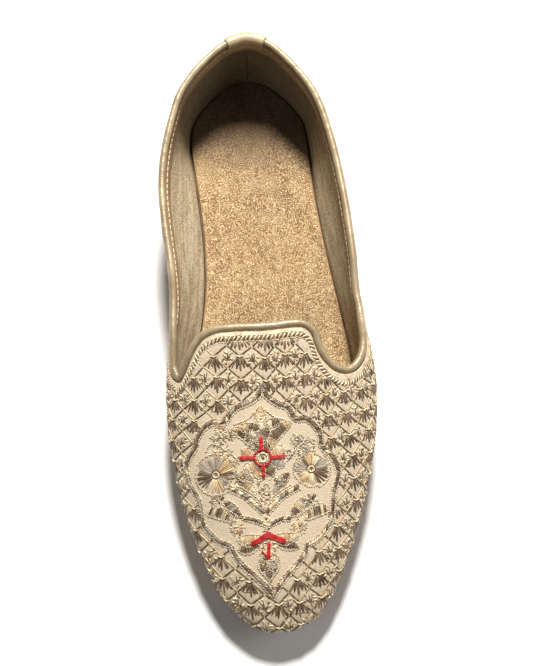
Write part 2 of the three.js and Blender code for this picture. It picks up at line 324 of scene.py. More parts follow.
def turn_past(numbers, plan):
    """Which side of its rib each point lies on, and how far along the rib."""
    row = even_curve(RIB_TABLE, numbers)
    rib, from_spine = row[:, 0:2] - row[:, 5:7], plan - row[:, 5:7]
    turn = rib[:, 0] * from_spine[:, 1] - rib[:, 1] * from_spine[:, 0]
    return turn, (rib * from_spine).sum(1) / (rib * rib).sum(1)


def find_ribs(plan):
    """The rib over each point of the plan, and how far along it the point lies."""
    first = np.empty(len(plan), int)
    line = SCAN_WIDE - SCAN_SPINE
    for start in range(0, len(plan), 8000):
        part = plan[start:start + 8000, None, :] - SCAN_SPINE[None]
        turn = line[:, 0] * part[..., 1] - line[:, 1] * part[..., 0]
        ahead = line[:, 0] * part[..., 0] + line[:, 1] * part[..., 1] >= 0
        crossed = (turn[:, :-1] <= 0) & (turn[:, 1:] > 0) & (ahead[:, :-1] | ahead[:, 1:])
        first[start:start + 8000] = crossed.argmax(axis=1)
    low, high = SCAN[first], SCAN[first] + SCAN_STEP
    for _ in range(11):
        middle = (low + high) / 2
        is_before = turn_past(middle, plan)[0] <= 0
        low, high = np.where(is_before, middle, low), np.where(is_before, high, middle)
    numbers = (low + high) / 2
    return numbers, np.maximum(turn_past(numbers, plan)[1], 0)


print("toe tip", place(np.array([22.0]), np.array([1.0])).round(1))

# %% [markdown]
# The upper is a ring between the collar and the hem. In the pattern plan every rib is stretched
# straight, and columns run there from a point of the collar to a point of the hem. The collar
# follows the quarters' top, then dips at each side of the tongue.

# %% The ring between collar and hem


def pattern_points(number, reach):
    row = even_curve(RIB_TABLE, np.asarray(number, float))
    return row[..., 5:7] + (row[..., 0:2] - row[..., 5:7]) * np.asarray(reach, float)[..., None]


def throat_points(rows):
    plan = np.array([(x - MIDDLE_SIDE, along(station)) for _, x, station in rows])
    number, reach = find_ribs(plan)
    return pattern_points(number, np.arcsin(np.minimum(reach, 1)) * 2 / math.pi)


def collar_and_hem():
    quarter = np.arange(QUARTER_ROWS + 1.0)
    back = RIBS - np.arange(QUARTER_ROWS, 0, -1.0)
    at_collar = np.full(QUARTER_ROWS + 1, COLLAR_REACH)
    medial = MEDIAL_THROAT[::-1]
    hem_ribs = np.concatenate([
        quarter, [row[0] for row in LATERAL_THROAT], [RIBS - row[0] for row in medial], back,
    ])
    collar = np.concatenate([
        pattern_points(quarter, at_collar), throat_points(LATERAL_THROAT), throat_points(medial),
        pattern_points(back, at_collar[1:]),
    ])
    return collar, pattern_points(hem_ribs, np.full(len(hem_ribs), 2.0))


COLLAR, HEM = collar_and_hem()


def ring(turns, falls):
    """Ribs and reaches where columns (turns, 0 to 1) and rows (falls, 0 to 1) of the ring meet."""
    edge = centripetal_curve(COLLAR, np.asarray(turns) * len(COLLAR))
    foot = centripetal_curve(HEM, np.asarray(turns) * len(COLLAR))
    falls = np.asarray(falls)[:, None, None]
    plan = edge[None] * (1 - falls) + foot[None] * falls
    number, reach = find_ribs(plan.reshape(-1, 2))
    shape = plan.shape[:2]
    number, reach = number.reshape(shape), reach.reshape(shape)
    reach[falls[:, 0, 0] == 1] = 2
    return number, reach


def layer(number, reach, depth):
    """The ring's surface, depth millimetres inside the upper's outer face."""
    deep = np.broadcast_to(np.asarray(depth, float), number.shape)
    points = place(number, reach) - normals_at(number, np.minimum(reach, 1.99)) * deep[..., None]
    hem = reach[:, 0] == 2
    if hem.any():
        points[hem] = foot_point(number[hem], -deep[hem][..., None], hem_height)
    return points


turns, falls = np.arange(480) / 480, np.linspace(0, 1, 81)
RIB, REACH = ring(turns, falls)
OUTER = layer(RIB, REACH, 0)
upper_low = np.array(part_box("upper")[0]) / MM
off_upper = np.abs(OUTER.reshape(-1, 3).min(0) - upper_low).max()
print("off the frame's upper by", off_upper.round(2), "mm at most")

# %% [markdown]
# ## Finishes
# A finish is a handful of shader nodes. Writing them as arithmetic keeps them readable: a wire
# stands for one socket, and adding, multiplying or comparing wires adds the Math nodes. Every other
# node comes from the wire's node method.

# %% Wires


class Wire:
    """An output socket. Arithmetic on it makes Math nodes in the same tree."""

    def __init__(self, socket):
        self.socket = socket

    def node(self, kind, settings=(), inputs=(), output=0):
        tree = self.socket.id_data
        made = tree.nodes.new(kind)
        for key, value in dict(settings).items():
            setattr(made, key, value)
        for key, value in dict(inputs).items():
            if isinstance(value, Wire):
                tree.links.new(value.socket, made.inputs[key])
            else:
                made.inputs[key].default_value = value
        return Wire(made.outputs[output])

    def math(self, operation, *others, clamp=False):
        values = dict(enumerate((self, *others)))
        return self.node("ShaderNodeMath", {"operation": operation, "use_clamp": clamp}, values)

    def __add__(self, other):
        return self.math("ADD", other)

    def __mul__(self, other):
        return self.math("MULTIPLY", other)

    def __sub__(self, other):
        return self.math("SUBTRACT", other)

    def __rsub__(self, other):
        return self.math("MULTIPLY", -1).math("ADD", other)

    __radd__, __rmul__ = __add__, __mul__

    def clip(self):
        return self.math("ADD", 0, clamp=True)

    def between(self, low, high):
        """0 at low, 1 at high, smooth between; low may be the larger."""
        return self.node(
            "ShaderNodeMapRange", {"interpolation_type": "SMOOTHSTEP"},
            {"Value": self, "From Min": low, "From Max": high},
        )


def dye(red, green, blue):
    """A colour given as it looks, 0 to 255, in the linear values that a shader works in."""
    return (*[((v / 255 + 0.055) / 1.055) ** 2.4 for v in (red, green, blue)], 1)


def mix(factor, first, second):
    return factor.node("ShaderNodeMix", {"data_type": "RGBA"}, {0: factor, 6: first, 7: second}, 2)


print("mid grey is", round(dye(128, 128, 128)[0], 3))

# %% [markdown]
# A finish starts as an empty material with one shader. Small functions give the usual patterns,
# each as a wire that can be added, multiplied and mixed like a number.

# %% Making a finish


def new_finish(name):
    """A material, and the wire of its Object coordinates."""
    material = bpy.data.materials.new(name)
    material.use_nodes = True
    coordinates = material.node_tree.nodes.new("ShaderNodeTexCoord")
    return material, Wire(coordinates.outputs["Object"])


def set_shader(material, wires, constants=()):
    """Wires for what varies and constants for what doesn't, both by the shader's socket names."""
    shader = material.node_tree.nodes["Principled BSDF"]
    for name, wire in wires.items():
        material.node_tree.links.new(wire.socket, shader.inputs[name])
    for name, value in dict(constants).items():
        shader.inputs[name].default_value = value
    return material


def noise(where, scale, detail=2.0, roughness=0.5):
    return where.node(
        "ShaderNodeTexNoise", {}, {"Vector": where, "Scale": scale, "Detail": detail, "Roughness": roughness},
    )


def cells(where, scale):
    return where.node(
        "ShaderNodeTexVoronoi", {"feature": "F1"}, {"Vector": where, "Scale": scale}, "Distance",
    )


def stretched(where, scale):
    return where.node("ShaderNodeMapping", {}, {"Vector": where, "Scale": scale})


def attribute(where, name, output="Fac"):
    return where.node("ShaderNodeAttribute", {"attribute_name": name}, {}, output)


def bump(height, distance, strength):
    return height.node("ShaderNodeBump", {}, {"Height": height, "Distance": distance, "Strength": strength})


FLECKS_A_METRE = 900
print("the flecks on a thread are about", round(1 / FLECKS_A_METRE / MM, 2), "mm apart")

# %% [markdown]
# Meshes are made from rows of points. A shell's rows run down its outside and up its inside, and
# join into a ring, so that it is closed and its faces point out on both sides.

# %% Meshes from rows
WELD_APART = 0.002


def grid_faces(rows, columns, loop_rows, loop_columns):
    r = np.arange(rows if loop_rows else rows - 1)[:, None]
    c = np.arange(columns if loop_columns else columns - 1)[None]
    below, right = (r + 1) % rows, (c + 1) % columns
    corners = (r * columns + c, r * columns + right, below * columns + right, below * columns + c)
    return np.stack([np.broadcast_to(corner, (r.size, c.size)) for corner in corners], axis=-1).reshape(-1, 4)


def make_piece(name, points, faces, material, slot_name):
    """A piece from points in millimetres."""
    mesh = bpy.data.meshes.new(name)
    mesh.from_pydata((np.asarray(points).reshape(-1, 3) * MM).tolist(), [], np.asarray(faces).tolist())
    mesh.materials.append(material)
    mesh.shade_smooth()
    piece = bpy.data.objects.new(name, mesh)
    bpy.context.collection.objects.link(piece)
    declare(piece, slot_name)
    return piece


def declare(piece, slot_name, *replaced):
    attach(piece, "root")
    if replaced:
        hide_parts(*replaced)
    print(piece.name, "has", sum(len(p.vertices) - 2 for p in piece.data.polygons), "triangles")


def weld(piece):
    """Merge points that coincide where rows shrink to a point."""
    mesh = bmesh.new()
    mesh.from_mesh(piece.data)
    bmesh.ops.remove_doubles(mesh, verts=mesh.verts, dist=WELD_APART * MM)
    bmesh.ops.dissolve_degenerate(mesh, edges=mesh.edges, dist=WELD_APART * MM)
    open_edges = sum(not edge.is_manifold for edge in mesh.edges)
    mesh.to_mesh(piece.data)
    mesh.free()
    print(piece.name, "has", open_edges, "open edges")


def shell_piece(name, outer, inner, material, slot_name):
    rows = np.concatenate([outer, inner[::-1]])
    return make_piece(name, rows, grid_faces(*rows.shape[:2], True, True), material, slot_name)

# %% [markdown]
# ## Laying the cloth flat
# The embroidery was worked on flat cloth. To place it, the outer surface is cut at the heel seam
# and flattened with the least stretch, then turned and scaled until the vamp is true to size. A
# stitch is drawn on that flat pattern, in millimetres across and down from the tongue's middle,
# and carried back to the shoe.

# %% Flattening
FLAT_COLUMNS, FLAT_ROWS, FLAT_ROUNDS = 144, 25, 20
TONGUE_Y, TOE_Y, VAMP_Y, VAMP_HALF, VAMP_LOW = -10, -146, -100, 12, 25


def flatten_outer():
    number, reach = ring(np.arange(FLAT_COLUMNS + 1) / FLAT_COLUMNS % 1, np.linspace(0, 1, FLAT_ROWS))
    points = layer(number, reach, 0)
    mesh = bpy.data.meshes.new("flat")
    faces = grid_faces(FLAT_ROWS, FLAT_COLUMNS + 1, False, False)
    mesh.from_pydata(points.reshape(-1, 3).tolist(), [], faces.tolist())
    cloth = bpy.data.objects.new("flat", mesh)
    bpy.context.collection.objects.link(cloth)
    bpy.context.view_layer.objects.active = cloth
    cloth.select_set(True)
    bpy.ops.object.mode_set(mode="EDIT")
    bpy.ops.mesh.select_all(action="SELECT")
    bpy.ops.uv.unwrap(method="MINIMUM_STRETCH", iterations=FLAT_ROUNDS, margin=0)
    bpy.ops.object.mode_set(mode="OBJECT")
    loops = np.array([tuple(corner.uv) for corner in mesh.uv_layers.active.data])
    corners = np.array([loop.vertex_index for loop in mesh.loops])
    flat = np.empty((len(mesh.vertices), 2))
    flat[corners] = loops
    bpy.data.objects.remove(cloth)
    return points, flat.reshape(FLAT_ROWS, -1, 2)


def true_to_vamp(points, flat):
    """Turn and scale the flat pattern: across is sideways, down runs along the ridge to the toe."""
    ridge_y = np.linspace(TONGUE_Y, TOE_Y, 400)
    ridge_z = ridge_height(MIDDLE_STATION - ridge_y)
    run = np.concatenate([[0], np.cumsum(np.hypot(np.diff(ridge_y), np.diff(ridge_z)))])
    x, y, z = points[..., 0] + MIDDLE_SIDE, points[..., 1], points[..., 2]
    vamp = (np.abs(x) < VAMP_HALF) & (y < TONGUE_Y - 2) & (y > VAMP_Y) & (z > VAMP_LOW)
    wanted = x[vamp] - 1j * np.interp(-y[vamp], -ridge_y, run)
    found = flat[..., 0] + 1j * flat[..., 1]
    centre, aim = found[vamp].mean(), wanted.mean()
    turn = ((found[vamp] - centre).conj() * (wanted - aim)).sum() / (np.abs(found[vamp] - centre) ** 2).sum()
    turned = (found - centre) * turn + aim
    return np.stack([turned.real, -turned.imag], axis=-1)


FLAT_POINTS, flat_raw = flatten_outer()
FLAT = true_to_vamp(FLAT_POINTS, flat_raw)
print("flat pattern from", FLAT.min((0, 1)).round(), "to", FLAT.max((0, 1)).round())

# %% [markdown]
# The embroidery is laid out flat, as on the embroiderer's frame. A pattern place is looked up in
# the flattened grid, and the same grid cell on the shoe gives the point and the cloth's normal.

# %% From flat to shoe and back
PATTERN_COLUMNS, PATTERN_ROWS = 576, 97


def grid_sample(values, turns, falls):
    """A value of the flattened grid between its columns and rows."""
    columns = np.clip(np.asarray(turns) * FLAT_COLUMNS, 0, FLAT_COLUMNS - 1e-6)
    rows = np.clip(np.asarray(falls) * (FLAT_ROWS - 1), 0, FLAT_ROWS - 1 - 1e-6)
    c, r = columns.astype(int), rows.astype(int)
    u, v = (columns - c)[..., None], (rows - r)[..., None]
    top = values[r, c] * (1 - u) + values[r, c + 1] * u
    return top * (1 - v) + (values[r + 1, c] * (1 - u) + values[r + 1, c + 1] * u) * v


def fine_flat(points_across, points_down):
    across, down = np.meshgrid(np.linspace(0, 1, points_across), np.linspace(0, 1, points_down))
    return grid_sample(FLAT, across, down), across, down


class Pattern:
    """Looks up the shoe's outer surface from the flat pattern."""

    def __init__(self):
        flat, across, down = fine_flat(PATTERN_COLUMNS + 1, PATTERN_ROWS)
        number, reach = ring(across[0] % 1, down[:, 0])
        self.points = layer(number, reach, 0).reshape(-1, 3)
        self.normals = normals_at(number, np.clip(reach, 0.02, 1.99)).reshape(-1, 3)
        self.flat = np.concatenate([flat.reshape(-1, 2), np.zeros((flat.size // 2, 1))], axis=1)
        self.faces = grid_faces(PATTERN_ROWS, PATTERN_COLUMNS + 1, False, False)
        self.tree = BVHTree.FromPolygons(self.flat.tolist(), self.faces.tolist())

    def find(self, across, down):
        """The place and normal at a flat point, or None beside the cloth."""
        hit, _, face, _ = self.tree.ray_cast(Vector((across, down, 1)), Vector((0, 0, -1)))
        if hit is None:
            return None
        corners = self.faces[face]
        gaps = np.linalg.norm(self.flat[corners, :2] - (across, down), axis=1)
        weights = 1 / np.maximum(gaps, 1e-6) ** 2
        weights = self.bilinear(self.flat[corners, :2], np.array((across, down)), weights)
        normal = weights @ self.normals[corners]
        return weights @ self.points[corners], normal / np.linalg.norm(normal)

    @staticmethod
    def bilinear(corners, at, fallback):
        """Weights of a quad's corners that give the point back."""
        a, b, c, d = corners
        u = v = 0.5
        for _ in range(4):
            value = a * (1 - u) * (1 - v) + b * u * (1 - v) + c * u * v + d * (1 - u) * v - at
            along_u = (b - a) * (1 - v) + (c - d) * v
            along_v = (d - a) * (1 - u) + (c - b) * u
            turn = along_u[0] * along_v[1] - along_u[1] * along_v[0]
            if abs(turn) < 1e-9:
                return fallback / fallback.sum()
            u -= (value[0] * along_v[1] - value[1] * along_v[0]) / turn
            v -= (along_u[0] * value[1] - along_u[1] * value[0]) / turn
        return np.array([(1 - u) * (1 - v), u * (1 - v), u * v, (1 - u) * v])


pattern = Pattern()
print("on the vamp, 60 mm down:", pattern.find(0, 60)[0].round(1))

# %% [markdown]
# ## Upper cloth
# The upper is silk over a stiff backing. Couched threads pull it down along a lattice of diamonds,
# so each diamond swells a little between them. The mesh is fine enough for that swelling to be
# real; the weave and its slubs are finer and stay in the finish.

# %% The lattice's places
LATTICE_ACROSS, MEDIAL_PITCH, LATERAL_PITCH = 1.1, 12.1, 9.9
LATTICE_DOWN, ROW_PITCH, ROW_SAG, SAG_WIDTH = 12.8, 10.5, 3.0, 22


def lattice_place(column, row):
    """Flat place of a lattice crossing; whole numbers are where the fans hang."""
    column, row = np.asarray(column, float), np.asarray(row, float)
    across = LATTICE_ACROSS + column * np.where(column < 0, MEDIAL_PITCH, LATERAL_PITCH)
    sag = ROW_SAG * (1 - np.exp(-(across / SAG_WIDTH) ** 2))
    return np.stack([across, LATTICE_DOWN + row * ROW_PITCH - sag], axis=-1)


def lattice_number(flat):
    """The column and row, as fractions, of flat places."""
    across = flat[..., 0] - LATTICE_ACROSS
    sag = ROW_SAG * (1 - np.exp(-(flat[..., 0] / SAG_WIDTH) ** 2))
    column = across / np.where(across < 0, MEDIAL_PITCH, LATERAL_PITCH)
    return column, (flat[..., 1] + sag - LATTICE_DOWN) / ROW_PITCH


print("first fan hangs at", lattice_place(0, 0).round(1))

# %% [markdown]
# The large frame on the vamp is not quite even left and right, so each side has its own corners,
# and a smooth line runs through them.

# %% The cartouche's outline
CARTOUCHE_MEDIAL = [
    (-1, 26.1), (-2.4, 30), (-7.2, 33.3), (-13.2, 35.4), (-16.4, 38), (-19.5, 42.1), (-25.7, 42.2),
    (-30.2, 45.1), (-33.1, 49.7), (-34, 54), (-37.3, 59.6), (-38.8, 64.5), (-36.9, 72), (-32.8, 79),
    (-31.7, 85.4), (-30.9, 91.1), (-27.4, 95.1), (-23.3, 98.8), (-18.7, 100.6), (-17.1, 104.3),
    (-13.3, 109.6), (-8.1, 114.8), (-3.1, 120.2), (-0.6, 124),
]
CARTOUCHE_LATERAL = [
    (-1, 26.1), (1.7, 31), (7, 34.8), (11.3, 36.4), (14.8, 42), (19.3, 42), (23.4, 45.2), (25.9, 49.7),
    (26.4, 56), (30.7, 61.3), (32.7, 67.4), (32.3, 72), (29.9, 79), (28.8, 86.5), (27.5, 92.2),
    (23.6, 97.4), (20, 100.4), (16, 102.2), (14.6, 106), (9.1, 112), (3.4, 118), (-0.6, 124),
]
CARTOUCHE = np.array(CARTOUCHE_MEDIAL + CARTOUCHE_LATERAL[-2:0:-1])


def inside_cartouche(flat):
    """Even-odd test of many flat points against the outline."""
    x, y = flat[..., 0], flat[..., 1]
    inside = np.zeros(x.shape, bool)
    for (ax, ay), (bx, by) in zip(CARTOUCHE, np.roll(CARTOUCHE, -1, axis=0)):
        crosses = (ay > y) != (by > y)
        slope = (bx - ax) / (by - ay if by != ay else 1e-9)
        inside ^= crosses & (x < ax + (y - ay) * slope)
    return inside


print("cartouche outline has", len(CARTOUCHE), "points")

# %% [markdown]
# Couched cords pull the silk down and the padding lifts it between them. The swelling is made in
# the cloth's own points, so that light rolls over every diamond.

# %% Swelling between the threads
CLOTH_COLUMNS, CLOTH_ROWS, CLOTH_DEPTH, SWELL = 600, 92, 1.25, 0.32


def swelling(flat):
    """0 on the lattice's lines, rising between them; level inside the cartouche."""
    column, row = lattice_number(flat)
    first, second = column + row, column - row
    from_line = [np.abs(np.mod(part, 1) - 0.5) for part in (first, second)]
    pillow = (1 - (2 * from_line[0]) ** 4) * (1 - (2 * from_line[1]) ** 4)
    return np.where(inside_cartouche(flat), 0.55, pillow)


def cloth_layers():
    flat, across, down = fine_flat(CLOTH_COLUMNS + 1, CLOTH_ROWS)
    flat = flat[:, :-1]
    number, reach = ring(across[0, :-1], down[:, 0])
    edge = np.minimum(down[:, :1] / 0.05, 1) * np.minimum((1 - down[:, :1]) / 0.05, 1)
    outer = layer(number, reach, -SWELL * swelling(flat) * edge)
    middle = np.linspace(0, 1, 16)
    inner = layer(*ring(across[0, :-1], middle), CLOTH_DEPTH)
    return outer, inner, flat


def silk_finish():
    material, where = new_finish("silk")
    flat = attribute(where, "flat", "Vector")
    warp = noise(stretched(flat, (0.35, 5.0, 1)), 1.0, 3).between(0.3, 0.75)
    weft = noise(stretched(flat, (4.2, 0.3, 1)), 1.0, 3).between(0.3, 0.75)
    cloudy = noise(where, 45, 4).between(0.35, 0.7)
    grain = noise(stretched(flat, (2.4, 2.4, 1)), 1.0, 2)
    slub = warp * 0.6 + weft * 0.4
    colour = mix(slub, dye(196, 175, 146), dye(219, 202, 178))
    colour = mix(cloudy * 0.45, colour, dye(200, 187, 162))
    # painted shade: the silk is darkened in the hollows along the lattice, where the couched cords pull it
    # down
    colour = mix(attribute(where, "hollow_shade") * 0.7, colour, dye(142, 120, 90))
    return set_shader(material, {
        "Base Color": colour,
        "Roughness": 0.62 - slub * 0.14,
        "Normal": bump(slub * 0.7 + grain * 0.5, 0.00028, 0.8),
    }, {"Sheen Weight": 0.25, "Sheen Roughness": 0.4, "Specular IOR Level": 0.4})


def store_points(piece, name, values):
    kind = "FLOAT" if np.ndim(values) == 1 else "FLOAT_VECTOR"
    stored = piece.data.attributes.new(name, kind, "POINT")
    stored.data.foreach_set("value" if kind == "FLOAT" else "vector", np.ravel(values))


def make_cloth():
    outer, inner, flat = cloth_layers()
    cloth = shell_piece("upper_cloth", outer, inner, silk_finish(), "upper_cloth")
    count = inner.shape[0] * inner.shape[1]
    places = np.concatenate([flat.reshape(-1, 2), np.zeros((count, 2))])
    store_points(cloth, "flat", np.concatenate([places, np.zeros((len(places), 1))], axis=1))
    # painted shade: 1 on the lattice's lines, fading to 0 as the silk swells between them
    hollow_shade = np.concatenate([1 - np.minimum(swelling(flat).ravel() * 2.4, 1), np.zeros(count)])
    store_points(cloth, "hollow_shade", hollow_shade)
    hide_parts("upper")


make_cloth()

# %% [markdown]
# ## Lining and collar band
# Inside, the upper has a short golden plush. A band of tan leather, stitched down with a pale
# thread, covers the plush's edge all round the collar. Both are shells inside the cloth, one
# behind the other, so none of them cuts through its neighbour.

# %% Lining
LINING_DEPTHS, BAND_DEPTHS, BAND_WIDTH = (1.3, 2.1), (2.12, 2.75), 8.2
# painted shadow: the heel pocket's shadow is painted on the plush in dark brown, fading in between 84 and 108
# mm towards the heel
HEEL_SHADE_FROM, HEEL_SHADE_TO, HEEL_SHADE_COLOUR = 84, 108, (62, 38, 22)


def plush_finish(name, dark, middle, light, streak, patch):
    material, where = new_finish(name)
    pile = noise(stretched(where, streak), 1.0, 4, 0.65)
    sparkle = noise(where, 1700, 3, 0.65)
    drift = noise(where, 28, 3)
    tone = (pile * 0.6 + drift * 0.4).between(0.36, 0.66)
    colour = mix(tone, dye(*dark), dye(*middle))
    blotch = noise(stretched(where, (150, 45, 300)), 1.0, 5, 0.7)
    colour = mix(blotch.between(0.47, 0.58) * patch, colour, dye(*light))
    colour = mix(sparkle.between(0.5, 0.62), colour, dye(*light))
    colour = mix(sparkle.between(0.48, 0.38) * 0.9, colour, dye(*dark))
    # painted shadow: the plush turns dark brown towards the heel, where the back wall's shadow falls
    heel_shade = attribute(where, "heel_shade")
    colour = mix(heel_shade * 0.8, colour, dye(*HEEL_SHADE_COLOUR))
    return set_shader(material, {
        "Base Color": colour,
        "Roughness": 0.75 - sparkle.between(0.5, 0.7) * 0.3,
        "Normal": bump(sparkle * 0.8 + pile * 0.5, 0.0014, 1.0),
    }, {"Sheen Weight": 0.5, "Sheen Roughness": 0.35, "Sheen Tint": dye(250, 226, 180)})


def paint_heel_shade(piece):
    """Store how much painted shadow darkens the plush: none forward, full in the heel pocket."""
    places = np.empty(len(piece.data.vertices) * 3)
    piece.data.vertices.foreach_get("co", places)
    back = places[1::3] / MM
    store_points(piece, "heel_shade", np.clip((back - HEEL_SHADE_FROM) / (HEEL_SHADE_TO - HEEL_SHADE_FROM), 0, 1))


def make_lining():
    turns = np.arange(480) / 480
    shells = [layer(*ring(turns, np.linspace(0.004, 1, 40)), depth) for depth in LINING_DEPTHS]
    dark, middle, light = (116, 94, 68), (184, 158, 122), (226, 212, 184)
    finish = plush_finish("lining_plush", dark, middle, light, (420, 55, 420), 0.7)
    # painted shadow of the heel pocket on the lining
    paint_heel_shade(shell_piece("lining", *shells, finish, "plush"))


make_lining()

# %% [markdown]
# A flat strap of leather backs the collar inside. It follows the collar's edge at a level width,
# so the distance down the lining is measured column by column before the strap is set out.

# %% Collar band


def band_falls(turns, distances):
    """How far down each column to go for a level distance from the collar's edge."""
    falls = np.linspace(0, 0.6, 49)
    points = layer(*ring(turns, falls), 0)
    steps = np.linalg.norm(np.diff(points, axis=0), axis=-1)
    run = np.concatenate([np.zeros((1, len(turns))), np.cumsum(steps, 0)])
    edge = np.roll(points[0], -1, 0) - np.roll(points[0], 1, 0)
    away = points[2] - points[0]
    slant = np.linalg.norm(np.cross(edge, away), axis=1)
    slant = slant / np.linalg.norm(edge, axis=1) / np.linalg.norm(away, axis=1)
    slant = np.clip(slant, 0.35, 1)
    return np.array([
        [np.interp(d / slant[c], run[:, c], falls) for c in range(len(turns))] for d in distances
    ])


def at_falls(turns, falls):
    """Ribs and reaches for a fall that differs from column to column."""
    edge = centripetal_curve(COLLAR, np.asarray(turns) * len(COLLAR))
    foot = centripetal_curve(HEM, np.asarray(turns) * len(COLLAR))
    plan = edge * (1 - falls[..., None]) + foot * falls[..., None]
    number, reach = find_ribs(plan.reshape(-1, 2))
    return number.reshape(falls.shape), reach.reshape(falls.shape)


def leather_finish(name, base, worn, grain_scale=900, roughness=0.55, metallic=0.0):
    material, where = new_finish(name)
    grain = cells(where, grain_scale)
    wear = noise(where, 60, 5, 0.6).between(0.35, 0.72)
    fine = noise(where, grain_scale * 1.7, 3)
    colour = mix(wear, dye(*base), dye(*worn))
    return set_shader(material, {
        "Base Color": colour,
        "Roughness": roughness - wear * 0.12 + grain * 0.1,
        "Normal": bump(grain * 0.6 + fine * 0.6, 0.00022, 0.7),
    }, {"Metallic": metallic})


def make_band():
    turns = np.arange(720) / 720
    steps = np.array([0.25, 0.9, 2.6, 4.4, 6.2, BAND_WIDTH - 0.6, BAND_WIDTH])
    number, reach = at_falls(turns, band_falls(turns, steps))
    rise = np.array([0.0, 0.75, 1, 1, 1, 0.75, 0.0])[:, None]
    low, high = BAND_DEPTHS
    inside = layer(number, reach, low + (high - low) * np.maximum(rise, 0.05) * np.ones_like(number))
    outside = layer(number, reach, low * np.ones_like(number))
    finish = leather_finish("band_leather", (150, 120, 86), (176, 148, 112), 800, 0.6)
    shell_piece("collar_band", outside, inside, finish, "trim_leather")


make_band()

# %% [markdown]
# ## Piping
# The collar is bound with a rolled strip of gold leather. Round the two dips beside the tongue the
# strip is gathered into fine puckers, because its outer side is longer than its inner side there.

# %% Piping
PIPING_COLUMNS, PIPING_SIDES, PUCKER_PITCH, PUCKER_DEPTH = 1400, 14, 1.7, 0.13


def piping_frame(columns):
    """Centre, direction of travel, direction away from the cloth and up, all round the collar."""
    turns = np.arange(columns) / columns
    number, reach = ring(turns, [0.0])
    edge = place(number, reach)[0]
    normal = normals_at(number, reach)[0]
    round_ = np.roll(edge, -1, 0) - np.roll(edge, 1, 0)
    round_ /= np.linalg.norm(round_, axis=1, keepdims=True)
    away = np.cross(round_, normal)
    away /= np.linalg.norm(away, axis=1, keepdims=True)
    centre = edge - normal * WALL / 2 + away * (PIPING_RADIUS + FIT_GAP)
    run = np.concatenate([[0], np.cumsum(np.linalg.norm(np.diff(edge, axis=0), axis=1))])
    return centre, round_, away, np.cross(round_, away), run


def bend_of(round_, run):
    """How tightly the collar turns, per millimetre."""
    step = run[1]
    change = np.roll(round_, -3, 0) - np.roll(round_, 3, 0)
    return np.linalg.norm(change, axis=1) / (6 * step)


def make_piping():
    centre, round_, away, up, run = piping_frame(PIPING_COLUMNS)
    tight = np.clip((bend_of(round_, run) - 0.035) / 0.05, 0, 1)
    spread = np.ones(41) / 41
    tight = np.convolve(np.concatenate([tight[-20:], tight, tight[:20]]), spread, "valid")
    pucker = tight * PUCKER_DEPTH * np.abs(np.sin(run * math.pi / PUCKER_PITCH + np.sin(run * 0.7)))
    wave = 0.05 * np.sin(run * 0.35) + 0.03 * np.sin(run * 1.13 + 1)
    angle = np.arange(PIPING_SIDES) / PIPING_SIDES * 2 * math.pi
    radius = PIPING_RADIUS - 0.02 + wave[:, None] - pucker[:, None] * (0.4 + 0.6 * np.abs(np.sin(angle)))
    sideways = away[:, None] * (np.cos(angle) * radius)[..., None]
    upwards = up[:, None] * (np.sin(angle) * radius)[..., None]
    points = centre[:, None] + (sideways + upwards)
    faces = grid_faces(PIPING_COLUMNS, PIPING_SIDES, True, True)
    finish = leather_finish("gold_leather", (144, 126, 99), (178, 160, 130), 1300, 0.36, 0.25)
    piece = make_piece("piping_roll", points, faces, finish, "trim_leather")
    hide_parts("piping")


make_piping()

# %% [markdown]
# ## Sole and insole
# The bottom is cut from flat leather, so each of its layers is an outline with thickness: loops of
# the outline make the rounded edge, and lines ruled across close the top and the bottom.

# %% Layers of the bottom
OUTSOLE_ROUNDING, INSOLE_ROUNDING, INSOLE_GAP = 0.7, 0.9, 0.6


def slab(margin, bottom_of, top_of, edge, loops_around=264, across=20, relief=None):
    """Rows of a slab with rounded edges: rim loops, then the two ruled faces."""
    numbers = np.arange(loops_around) / loops_around * RIBS
    corner = np.linspace(0, math.pi / 2, 4)
    insets = np.concatenate([edge * (1 - np.sin(corner)), edge * (1 - np.cos(corner))])
    drops = np.concatenate([edge * (1 - np.cos(corner)), edge * (1 - np.sin(corner))])
    loops = []
    for i, (inset, drop) in enumerate(zip(insets, drops)):
        is_low = i < len(corner)
        level = (lambda s: bottom_of(s) + drop) if is_low else (lambda s: top_of(s) - drop)
        loops.append(foot_point(numbers, margin - inset, level))
    loops = np.array(loops)
    half = loops_around // 2
    medial = -np.arange(half + 1) % loops_around
    share = np.linspace(0, 1, across + 1)[None, :, None]

    def ruled(loop, sag):
        left, right = loop[medial][:, None], loop[:half + 1][:, None]
        face = left * (1 - share) + right * share
        if sag is not None:
            face[:, 1:-1, 2] += sag(face[:, 1:-1, 0], face[:, 1:-1, 1], share[0, 1:-1, 0])
        return face
    return loops, ruled(loops[0], None), ruled(loops[-1], relief)


def slab_piece(name, finish, slot_name, *sizes, **options):
    loops, bottom, top = slab(*sizes, **options)
    parts, faces, start = [loops, bottom, top], [], 0
    for part, turned, looped in zip(parts, (False, True, False), (True, False, False)):
        grid = grid_faces(part.shape[0], part.shape[1], False, looped)
        faces.append((grid[:, ::-1] if turned else grid) + start)
        start += part.shape[0] * part.shape[1]
    points = np.concatenate([part.reshape(-1, 3) for part in parts])
    piece = make_piece(name, points, np.concatenate(faces), finish, slot_name)
    weld(piece)
    return piece


def outsole_top(station):
    return sole_rise(station) + OUTSOLE


def insole_top(station):
    return hem_height(station) + INSOLE


